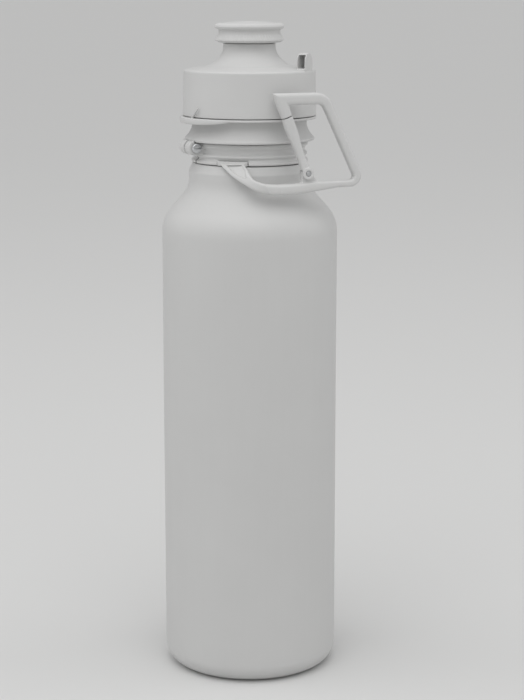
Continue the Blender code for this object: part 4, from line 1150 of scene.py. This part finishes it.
@dataclass
class Collar:
    """The ribbed band round the neck, split between two ears that a screw draws together."""

    palette: Palette
    bore: float = 21.8
    radius: float = 24.2
    height: float = 8.5
    groove: float = 1.3
    ear_azimuth: float = -66.0
    split: float = 1.5
    ear_thickness: float = 4.4
    ear_reach: float = 5.1
    ear_radius: float = 3.196
    flange_room: float = 27.2
    screw: float = 1.1
    head: float = 2.0
    head_height: float = 1.4
    head_over: float = 0.1
    slit: float = 0.6
    nut: float = 2.309
    nut_height: float = 1.6
    shoe_azimuth: float = -17.0
    shoe_span: float = 31.0
    shoe_bore: float = 23.1
    shoe_height: float = 1.9
    shoe_drop: float = 0.1

    def ear_frame(self, offset: float) -> Matrix:
        """A frame on the screw's line: Z along it, X outwards and Y up.

        Args:
            offset: how far along the line from the middle of the split.

        Returns:
            The frame in millimetres.
        """
        out = Vector(around(self.ear_azimuth, 1.0, 0.0))
        along = Vector(around(self.ear_azimuth + 90.0, 1.0, 0.0))
        turn = Matrix((out, Vector((0, 0, 1)), along)).transposed().to_4x4()
        centre = self.radius + self.ear_reach - self.ear_radius
        height = self.top() - self.head + self.head_over
        return Matrix.Translation(out * centre + along * offset + Vector((0, 0, height))) @ turn

    def top(self) -> float:
        """Height of the band's upper edge, under the flange."""
        return span("collar_band")[0] + self.height

    def half_width(self) -> float:
        """Half of the ears' width along the screw."""
        return self.split / 2 + self.ear_thickness

    def band(self) -> bpy.types.Object:
        """Revolves the ribbed section, adds the ears and cuts the split, bore and pocket."""
        low, high = span("collar_band")[0], self.top()
        rim, deep = self.radius, self.radius - self.groove
        corners = [(self.bore, low, 0.2), (rim - 0.15, low, 0.25), (rim, low + 0.5, 0.3),
                   (rim, low + 1.1, 0.4), (deep + 0.2, low + 1.9, 0.4),
                   (deep + 0.2, low + 2.5, 0.4), (rim - 0.3, low + 3.1, 0.3),
                   (rim - 0.3, low + 3.8, 0.35), (deep, low + 4.6, 0.5), (deep, low + 6.0, 0.5),
                   (rim, high - 1.4, 0.3), (rim, high, 0.35), (self.bore, high, 0.2)]
        ring = revolved("collar_ring", densified(rounded(corners, True), 0.6, True), 240)
        back = -(self.ear_reach - self.ear_radius + self.groove + 0.4)
        ear = np.concatenate([[(back, -self.ear_radius)],
                              circle((0.0, 0.0), self.ear_radius, -90.0, 90.0, 24),
                              [(back, self.ear_radius)]])
        ears = prism("collar_ears", ear, self.half_width(), self.ear_frame(0.0))
        slab = np.array([(-7.0, -12.0), (6.0, -12.0), (6.0, 12.0), (-7.0, 12.0)])
        slot = prism("collar_split", slab, self.split / 2, self.ear_frame(0.0))
        hole = prism("screw_hole", circle((0.0, 0.0), self.screw + GAP), 2 * self.half_width(),
                     self.ear_frame(0.0))
        base = low - self.shoe_drop
        pocket = self.shoe("shoe_pocket", self.shoe_bore - GAP, rim + 1.4, base - 0.4,
                           base + self.shoe_height + GAP, self.shoe_span + 1.4)
        under, over = high + 0.02, high + 8.0
        room = np.array([(0.0, under), (self.flange_room, under), (self.flange_room, over),
                         (0.0, over)])
        roof = revolved("flange_room", room, 180, False)
        whole = cut(joined("collar_whole", [ring, ears]), slot, hole, pocket, roof)
        return moulded("collar_ribs", [whole], 0.24, 3)

    def shoe(self, name: str, inner: float, outer: float, low: float, high: float,
             degrees: float) -> bpy.types.Object:
        """A stretch of a square-edged ring centred on the shoe's azimuth.

        Args:
            name: the object's name.
            inner: its inner radius.
            outer: its outer radius.
            low: its lowest height.
            high: its highest height.
            degrees: how far it runs.

        Returns:
            The new object.
        """
        azimuth = self.shoe_azimuth + degrees * np.linspace(-0.5, 0.5, 33)[:, None]
        radius = np.array([[inner, outer, outer, inner]])
        height = np.array([[low, low, high, high]])
        return swept(name, around(azimuth, radius, height), Shade.CRISP)

    def fastener(self) -> tuple[bpy.types.Object, bpy.types.Object]:
        """The slotted screw, turned about its own line, and the hexagon nut at its end."""
        seat = self.half_width() + GAP
        end, crown = -(seat + self.nut_height), seat + self.head_height
        outline = [(0.0, end, 0.0), (self.screw, end, 0.25), (self.screw, seat, 0.1),
                   (self.head, seat, 0.1), (self.head, crown - 0.15, 0.45), (0.6, crown, 2.0),
                   (0.0, crown, 0.0)]
        points = densified(rounded(outline, False), 0.6, False)
        screw = revolved("ear_screw", points, 64, False, None, Shade.CRISP)
        place = self.ear_frame(0.0)
        screw.data.transform(Matrix.Scale(MM, 4) @ place @ Matrix.Scale(1.0 / MM, 4))
        long, wide = 1.5 * self.head, self.slit / 2
        slit = np.array([(-long, -wide), (long, -wide), (long, wide), (-long, wide)])
        cut(screw, prism("screw_slot", slit, self.slit, self.ear_frame(crown)))
        middle = self.ear_frame(-(seat + self.nut_height / 2))
        nut = prism("ear_nut", circle((0.0, 0.0), self.nut, 0.0, 360.0, 6), self.nut_height / 2,
                    middle)
        bevel = nut.modifiers.new("edges", "BEVEL")
        bevel.width = 0.14 * MM
        bevel.segments = 2
        settled(nut)
        cut(nut, prism("nut_hole", circle((0.0, 0.0), self.screw + GAP), 2.0, middle))
        return screw, nut

    def build(self) -> None:
        """Makes the band, the screw and the nut."""
        dressed(self.band(), self.palette.collar, Slot.COLLAR, Body.COLLAR, "collar_band")
        screw, nut = self.fastener()
        dressed(screw, self.palette.steel, Slot.STEEL, Body.COLLAR, "collar_screw")
        dressed(nut, self.palette.steel, Slot.STEEL, Body.COLLAR, "collar_nut")


# ---- the clip handle ----------------------------------------------------------------------

@dataclass
class Clip:
    """The clip handle: nose, loop, arm, shoe and tongue, with the sprung gate that closes it.

    Each row of the arm's edges gives degrees from the loop's plane, how far out from the shoe
    to the loop as a share, and height over the collar's lower edge.
    """

    palette: Palette
    collar: Collar
    azimuth: float = 20.0
    offset: float = 32.25
    depth: float = 4.2
    nose: float = 1.5
    top_length: float = 18.7
    top_rise: float = 27.3
    drop: float = 7.1
    lean: float = 25.2
    top_half: float = 2.4
    spine_half: float = 1.85
    foot_half: float = 1.15
    arm_half: float = 2.15
    arm_drop: float = 8.8
    pivot_across: float = 12.9
    pivot_drop: float = 2.5
    tongue_radius: float = 2.1
    tongue_half: float = 1.0
    pin_radius: float = 1.0
    gate_length: float = 24.0
    gate_half: float = 2.15
    gate_halves: tuple[float, ...] = (2.05, 1.70, 1.66, 1.80, 2.16, 2.34, 2.18)
    knuckle: float = 2.4
    knuckle_depth: float = 5.0
    channel: float = 13.0
    channel_half: float = 1.3
    recess_depth: float = 0.8
    lower_edge: tuple[Corner, ...] = (
        (-5.1, 0.98, -10.7), (-13.8, 0.84, -9.6), (-23.3, 0.64, -7.1), (-34.7, 0.43, -3.7),
        (-49.0, 0.10, 0.75))
    upper_edge: tuple[Corner, ...] = (
        (-8.9, 0.97, -6.2), (-15.3, 0.78, -5.1), (-18.6, 0.58, -3.4), (-21.2, 0.36, -1.2),
        (-25.0, 0.10, 0.95))

    def base(self) -> float:
        """Height of the collar's lower edge."""
        return span("collar_band")[0]

    def pivot(self) -> Array:
        """The gate's pivot in the clip's plane: across and up."""
        return np.array([self.pivot_across, self.base() - self.pivot_drop])

    def along(self) -> Array:
        """The gate's direction in the clip's plane, from its pivot to the nose's corner."""
        way = np.array([self.nose, self.base() + self.top_rise]) - self.pivot()
        return way / np.linalg.norm(way)

    def at(self, flat: Array, out: float | Array = 0.0) -> Array:
        """Points given across and up the clip's plane, and outwards from it.

        Args:
            flat: an array whose last axis is across, up.
            out: distances in front of the plane.

        Returns:
            An array whose last axis is x, y, z.
        """
        side = around(self.azimuth + 90.0, 1.0, 0.0)
        front = around(self.azimuth, 1.0, 0.0)
        reach = np.broadcast_to(np.asarray(self.offset + out, float), flat.shape[:-1])
        return (flat[..., :1] * side + flat[..., 1:] * np.array([0.0, 0.0, 1.0])
                + reach[..., None] * front)

    def plane(self) -> Matrix:
        """A frame in the clip's plane: X across, Y up and Z outwards."""
        return frame_at(self.azimuth, self.offset, 0.0)

    def centre_line(self) -> Array:
        """The loop's middle: across, up and half-width, from the nose's tip round to the arm.

        Straight stretches meet in fillets, and the half-width goes smoothly from one given
        value to the next.

        Returns:
            Rows of across, up, half-width.
        """
        top, foot = self.base() + self.top_rise, self.base() - self.drop
        tip = self.pivot() + self.along() * (self.gate_length + 0.4)
        high = (self.nose + self.top_length, top)
        low = (high[0] + (top - foot) * math.tan(math.radians(self.lean)), foot)
        join = (self.pivot_across + 3.0, foot - 0.8)
        corners = [(*tip, 0.0), (self.nose, top, 0.0), (*high, 5.0), (*low, 4.0),
                   (low[0] - 10.0, foot - 0.1, 6.0), (*join, 8.0),
                   (7.8, self.base() - self.arm_drop + 0.1, 8.0),
                   (0.9, self.base() - self.arm_drop, 0.0)]
        path = densified(rounded(corners, False, 5.0), 1.0, False)
        steps = np.linalg.norm(np.diff(path, axis=0), axis=1)
        length = np.concatenate([[0.0], np.cumsum(steps)])
        marks = [self.nearest(path, length, point) for point in
                 (tip, (self.nose, top), (high[0] - 3.0, top), (high[0] + 2.5, top - 4.0),
                  (low[0] - 2.0, foot + 4.0), (low[0] - 4.0, foot), (low[0] - 10.0, foot - 0.1),
                  join, (0.9, self.base() - self.arm_drop))]
        halves = (self.gate_half, self.top_half, self.top_half, self.spine_half,
                  self.spine_half, self.foot_half + 0.35, self.foot_half + 0.3, self.arm_half,
                  self.arm_half)
        return np.column_stack([path, np.interp(length, marks, halves)])

    @staticmethod
    def nearest(path: Array, length: Array, point: Sequence[float]) -> float:
        """How far along a path its nearest point to a given one is."""
        return float(length[np.argmin(np.linalg.norm(path - np.asarray(point), axis=1))])

    def loop(self) -> bpy.types.Object:
        """Carries a rounded bar along the loop; each section halves the turn at its place."""
        rows = self.centre_line()
        path, half = rows[:, :2], rows[:, 2]
        into = np.diff(path, axis=0, prepend=2 * path[:1] - path[1:2])
        away = np.diff(path, axis=0, append=2 * path[-1:] - path[-2:-1])
        into /= np.linalg.norm(into, axis=1, keepdims=True)
        away /= np.linalg.norm(away, axis=1, keepdims=True)
        mean = into + away
        mean /= np.linalg.norm(mean, axis=1, keepdims=True)
        stretch = 1.0 / np.maximum(0.5, np.sum(mean * away, axis=1))
        across = np.column_stack([-mean[:, 1], mean[:, 0]]) * (half * stretch)[:, None]
        origin = self.at(np.zeros((1, 2)))
        wides = self.at(across) - origin
        thicks = np.broadcast_to(around(self.azimuth, self.depth / 2, 0.0), wides.shape)
        return swept("clip_loop", bar(self.at(path), wides, thicks, 3.1, 40))

    def arm_edges(self) -> tuple[Array, Array, Array, Array]:
        """The arm's two edges, the thickness between its faces and the way outwards.

        Returns:
            Points of the lower and the upper edge, thicknesses and unit vectors.
        """
        root = self.collar.shoe_bore + 0.7
        edges = []
        for edge in (self.lower_edge, self.upper_edge):
            rows = np.array(edge)
            points = around(self.azimuth + rows[:, 0], root + (self.offset - root) * rows[:, 1],
                            self.base() + rows[:, 2])
            edges.append(spline(points, 12))
        low, high = edges
        centres = (low + high) / 2
        t = np.linspace(0.0, 1.0, len(centres))
        thickness = self.depth + (2.0 - self.depth) * np.minimum(1.0, 1.4 * t)
        out = centres * np.array([1.0, 1.0, 0.0])
        out /= np.linalg.norm(out, axis=1, keepdims=True)
        return low, high, thickness, out

    def arm(self) -> bpy.types.Object:
        """Carries a bar between two edges that wind from the loop round to the shoe."""
        low, high, thickness, out = self.arm_edges()
        thicks = out * thickness[:, None] / 2
        return swept("clip_arm", bar((low + high) / 2, (low - high) / 2, thicks, 3.0, 40))

    def recess(self) -> bpy.types.Object:
        """The shallow wedge that parts the arm's root into two prongs.

        It follows the arm's outer face, and its width grows from nothing along 3t^2 - 2t^3.

        Returns:
            The cutter.
        """
        low, high, thickness, out = self.arm_edges()
        t = np.linspace(0.0, 1.0, len(low))
        keep = (t > 0.55) & (t < 0.965)
        low, high, thickness, out, t = low[keep], high[keep], thickness[keep], out[keep], t[keep]
        middle = low * 0.42 + high * 0.58 + out * (thickness[:, None] / 2)
        share = 0.30 * smoothstep(0.50, 0.80, t) + 0.02
        return swept("arm_recess", bar(middle, (low - high) * share[:, None],
                                       out * self.recess_depth, 4.0, 32))

    def elbow(self) -> bpy.types.Object:
        """The stretch that carries the bar from the loop's plane into the arm."""
        rows = self.centre_line()
        start = self.at(rows[-1:, :2])
        root = self.collar.shoe_bore + 0.7
        first = [around(self.azimuth + a, root + (self.offset - root) * s, self.base() + z)
                 for a, s, z in (self.lower_edge[0], self.upper_edge[0])]
        second = [around(self.azimuth + a, root + (self.offset - root) * s, self.base() + z)
                  for a, s, z in (self.lower_edge[1], self.upper_edge[1])]
        up = np.array([0.0, 0.0, self.arm_half])
        lows = spline(np.array([self.at(rows[-4:-3, :2])[0] - up, start[0] - up, first[0],
                                second[0]]), 8)
        highs = spline(np.array([self.at(rows[-4:-3, :2])[0] + up, start[0] + up, first[1],
                                 second[1]]), 8)
        centres = (lows + highs) / 2
        t = np.linspace(0.0, 1.0, len(centres))
        turn = self.azimuth - 9.0 * t
        thicks = around(turn, self.depth / 2 * (1.0 - 0.12 * t), 0.0)
        return swept("clip_elbow", bar(centres, (lows - highs) / 2, thicks, 3.0, 40))

    def tongue(self) -> bpy.types.Object:
        """The flat tongue that the gate's fork straddles, with the pivot's hole."""
        foot = self.base() - self.drop
        across, up = self.pivot()
        outline = np.concatenate([circle((across, up), self.tongue_radius, 0.0, 180.0, 24),
                                  [(across - self.tongue_radius - 0.4, foot - 0.6),
                                   (across + 7.0, foot - 0.4), (across + 3.6, foot + 2.2)]])
        plate = prism("clip_tongue", outline, self.tongue_half, self.plane())
        hole = circle((across, up), self.pin_radius + GAP)
        return cut(plate, prism("tongue_hole", hole, 4.0, self.plane()))

    def handle(self) -> bpy.types.Object:
        """Melts the loop, elbow, arm, shoe and tongue into one moulding."""
        collar = self.collar
        base = self.base() - collar.shoe_drop
        shoe = collar.shoe("clip_shoe", collar.shoe_bore, collar.radius + 0.1, base,
                           base + collar.shoe_height, collar.shoe_span)
        parts = [self.loop(), self.elbow(), self.arm(), shoe, self.tongue()]
        return cut(moulded("clip_handle", parts, 0.19, 4), self.recess())

    def gate(self) -> bpy.types.Object:
        """The slim-waisted bar with its forked knuckle and the channel for the spring.

        Its half-width is a smooth curve through the given values, evenly spaced along it, and
        its half-depth falls in a straight line from the knuckle's over the first quarter.

        Returns:
            The gate.
        """
        half = spline(np.array(self.gate_halves)[:, None], 10)
        t = np.linspace(0.0, 1.0, len(half))
        extra = (self.knuckle_depth - self.depth) / 2
        deep = self.depth / 2 - 0.2 + extra * np.maximum(0, 1 - 4 * t)
        direction = self.along()
        inward = np.array([direction[1], -direction[0]])
        centres = self.at(self.pivot() + direction * (self.gate_length * t)[:, None])
        wides = (self.at(inward[None]) - self.at(np.zeros((1, 2)))) * half
        thicks = around(self.azimuth, 1.0, 0.0)[None] * deep[:, None]
        beam = swept("gate_beam", bar(centres, wides, thicks, 3.1, 40))
        hub = prism("gate_hub", circle(tuple(self.pivot()), self.knuckle, 0.0, 360.0, 72),
                    self.knuckle_depth / 2, self.plane())
        halves = [cut(half, *self.gate_cutters()) for half in (beam, hub)]
        return moulded("gate_bar", halves, 0.14, 3)

    def gate_cutters(self) -> list[bpy.types.Object]:
        """What leaves the gate: room for the tongue and the spring, and the pivot's hole."""
        pivot = tuple(self.pivot())
        slot, wide, overlap = self.channel_half, 4 * self.gate_half, 0.37
        room = circle(pivot, self.tongue_radius + 2 * GAP, 2.0, 362.0, 72)
        hole = circle(pivot, self.pin_radius + 0.16)
        return [prism("gate_fork", room, slot, self.plane()),
                self.gate_box("gate_channel", -overlap, self.channel, -0.7, wide, slot - 0.01),
                self.gate_box("gate_heel", -wide, overlap / 2, -wide, wide, slot - 0.02),
                prism("gate_hole", hole, self.depth, self.plane())]

    def gate_box(self, name: str, start: float, end: float, low: float, high: float,
                 half: float) -> bpy.types.Object:
        """A block along the gate, for cutting.

        Args:
            name: the object's name.
            start: its start along the gate from the pivot.
            end: its end along the gate.
            low: its edge on the outer side.
            high: its edge towards the loop's inside.
            half: half of its depth.

        Returns:
            The block.
        """
        direction = self.along()
        inward = np.array([direction[1], -direction[0]])
        rows = np.array([(start, low), (end, low), (end, high), (start, high)])
        flat = self.pivot() + rows[:, :1] * direction + rows[:, 1:] * inward
        return prism(name, flat, half, self.plane())

    def spring(self) -> bpy.types.Object:
        """The leaf spring: a thin strip whose bow is 1.3 (1 - t)^2 off the channel's floor."""
        t = np.linspace(0.0, 1.0, 40)
        start = self.tongue_radius + 3 * GAP
        length = self.channel - GAP - start
        direction = self.along()
        inward = np.array([direction[1], -direction[0]])
        middle = -0.15 + 1.3 * (1.0 - t) ** 2
        flat = self.pivot() + direction * (start + length * t)[:, None] + inward * middle[:, None]
        wide = np.broadcast_to(around(self.azimuth, 1.0, 0.0), (len(t), 3))
        thin = self.at(inward[None] * 0.25) - self.at(np.zeros((1, 2)))
        thin = np.broadcast_to(thin, (len(t), 3))
        return swept("gate_leaf", bar(self.at(flat), wide, thin, 6.0, 24))

    def pin(self) -> bpy.types.Object:
        """The pivot's pin with small chamfers, turned about the pivot's line."""
        half = self.knuckle_depth / 2
        outline = [(0.0, -half, 0.0), (self.pin_radius, -half, 0.18),
                   (self.pin_radius, half, 0.18), (0.0, half, 0.0)]
        pin = revolved("gate_pivot", densified(rounded(outline, False), 0.7, False), 48, False)
        place = self.plane() @ Matrix.Translation((*self.pivot(), 0.0))
        pin.data.transform(Matrix.Scale(MM, 4) @ place @ Matrix.Scale(1.0 / MM, 4))
        return pin

    def build(self) -> None:
        """Makes the handle, the gate, its spring and its pin."""
        plastic, steel = self.palette.collar, self.palette.steel
        dressed(self.handle(), plastic, Slot.COLLAR, Body.COLLAR, "clip_frame")
        dressed(self.gate(), plastic, Slot.COLLAR, Body.GATE, "clip_gate")
        dressed(self.pin(), steel, Slot.STEEL, Body.COLLAR, "gate_pin")
        dressed(self.spring(), steel, Slot.STEEL, Body.GATE, "gate_spring")


# ---- the studio ---------------------------------------------------------------------------

@dataclass(frozen=True)
class SoftBox:
    """A square studio lamp that looks at a point on the bottle."""

    name: str
    place: Corner
    size: float
    power: float
    aim: Corner = (0.0, 0.0, 0.14)

    def switch_on(self) -> None:
        """Adds the lamp to the scene."""
        lamp = bpy.data.lights.new(self.name, "AREA")
        lamp.shape = "SQUARE"
        lamp.size = self.size
        lamp.energy = self.power
        holder = bpy.data.objects.new(self.name, lamp)
        holder.location = self.place
        way = Vector(self.aim) - Vector(self.place)
        holder.rotation_euler = way.to_track_quat("-Z", "Y").to_euler()
        bpy.context.scene.collection.objects.link(holder)


@dataclass
class Studio:
    """The pale floor, the even room light, the wide ceiling light, the soft lamps, the camera."""

    floor_radius: float = 30.0
    room: float = 0.36
    sky: float = 1.40
    sky_spread: float = 100.0
    lamps: tuple[SoftBox, ...] = (
        SoftBox("top_lamp", (-0.1, -0.60, 1.20), 1.0, 3.0, (0.0, 0.0, 0.22)),
        SoftBox("left_lamp", (-1.3, 0.10, 0.75), 1.0, 2.4),
        SoftBox("right_lamp", (1.3, 0.10, 0.70), 1.0, 2.5),
    )
    eye: Corner = (0.005164, -0.7899, 0.2941)
    tilt: float = 0.1975
    focal: float = 97.6

    def floor(self) -> None:
        """A round floor: rings of points whose radius grows as the square of their number."""
        rings, sides = 12, 64
        radii = (np.arange(1, rings + 1)[:, None] / rings) ** 2 * self.floor_radius
        angles = np.arange(sides) * (math.tau / sides)
        points = np.stack([radii * np.cos(angles), radii * np.sin(angles),
                           np.zeros((rings, sides))], axis=-1).reshape(-1, 3)
        middle = len(points)
        faces = grid_faces(rings, sides, False, True)[:, ::-1].tolist()
        faces += [[i, (i + 1) % sides, middle] for i in range(sides)]
        mesh = bpy.data.meshes.new("studio_floor")
        mesh.from_pydata([*points.tolist(), (0.0, 0.0, 0.0)], [], faces)
        made = bpy.data.objects.new("studio_floor", mesh)
        bpy.context.scene.collection.objects.link(made)
        mesh.materials.append(PaleFloor().make())

    def light(self) -> None:
        """Sets the room's even light, keeps its tones as they are and switches the lamps on."""
        world = bpy.data.worlds.new("room")
        world.use_nodes = True
        background = world.node_tree.nodes["Background"]
        background.inputs["Color"].default_value = (1.0, 1.0, 1.0, 1.0)
        background.inputs["Strength"].default_value = self.room
        bpy.context.scene.world = world
        bpy.context.scene.view_settings.view_transform = "Standard"
        sky = bpy.data.lights.new("ceiling_light", "SUN")
        sky.energy = self.sky
        sky.angle = math.radians(self.sky_spread)
        ceiling = bpy.data.objects.new("ceiling_light", sky)
        ceiling.rotation_euler = (math.radians(20.0), math.radians(-5.0), 0.0)
        bpy.context.scene.collection.objects.link(ceiling)
        for lamp in self.lamps:
            lamp.switch_on()

    def camera(self) -> None:
        """Places the camera in front of the bottle, a little above its top."""
        lens = bpy.data.cameras.new("camera")
        lens.lens = self.focal
        lens.sensor_width = 36.0
        lens.clip_start = 0.01
        lens.clip_end = 200.0
        eye = bpy.data.objects.new("camera", lens)
        eye.location = self.eye
        eye.rotation_euler = (math.pi / 2 - self.tilt, 0.0, 0.0)
        bpy.context.scene.collection.objects.link(eye)
        bpy.context.scene.camera = eye

    def build(self) -> None:
        """Sets the whole studio up."""
        self.floor()
        self.light()
        self.camera()


def write_sizes() -> None:
    """Updates the view layer so that every object's place is current.
    """
    bpy.context.view_layer.update()


def main() -> None:
    """Builds the studio and every sub-assembly, from the bottle upwards."""
    logging.basicConfig(level=logging.INFO, format="%(name)s: %(message)s")
    Studio().build()
    palette = Palette()
    Bottle(palette).build()
    Cap(palette).build()
    Nozzle(palette).build()
    TabRing(palette).build()
    collar = Collar(palette)
    collar.build()
    Clip(palette, collar).build()
    write_sizes()


if __name__ == "__main__":
    main()
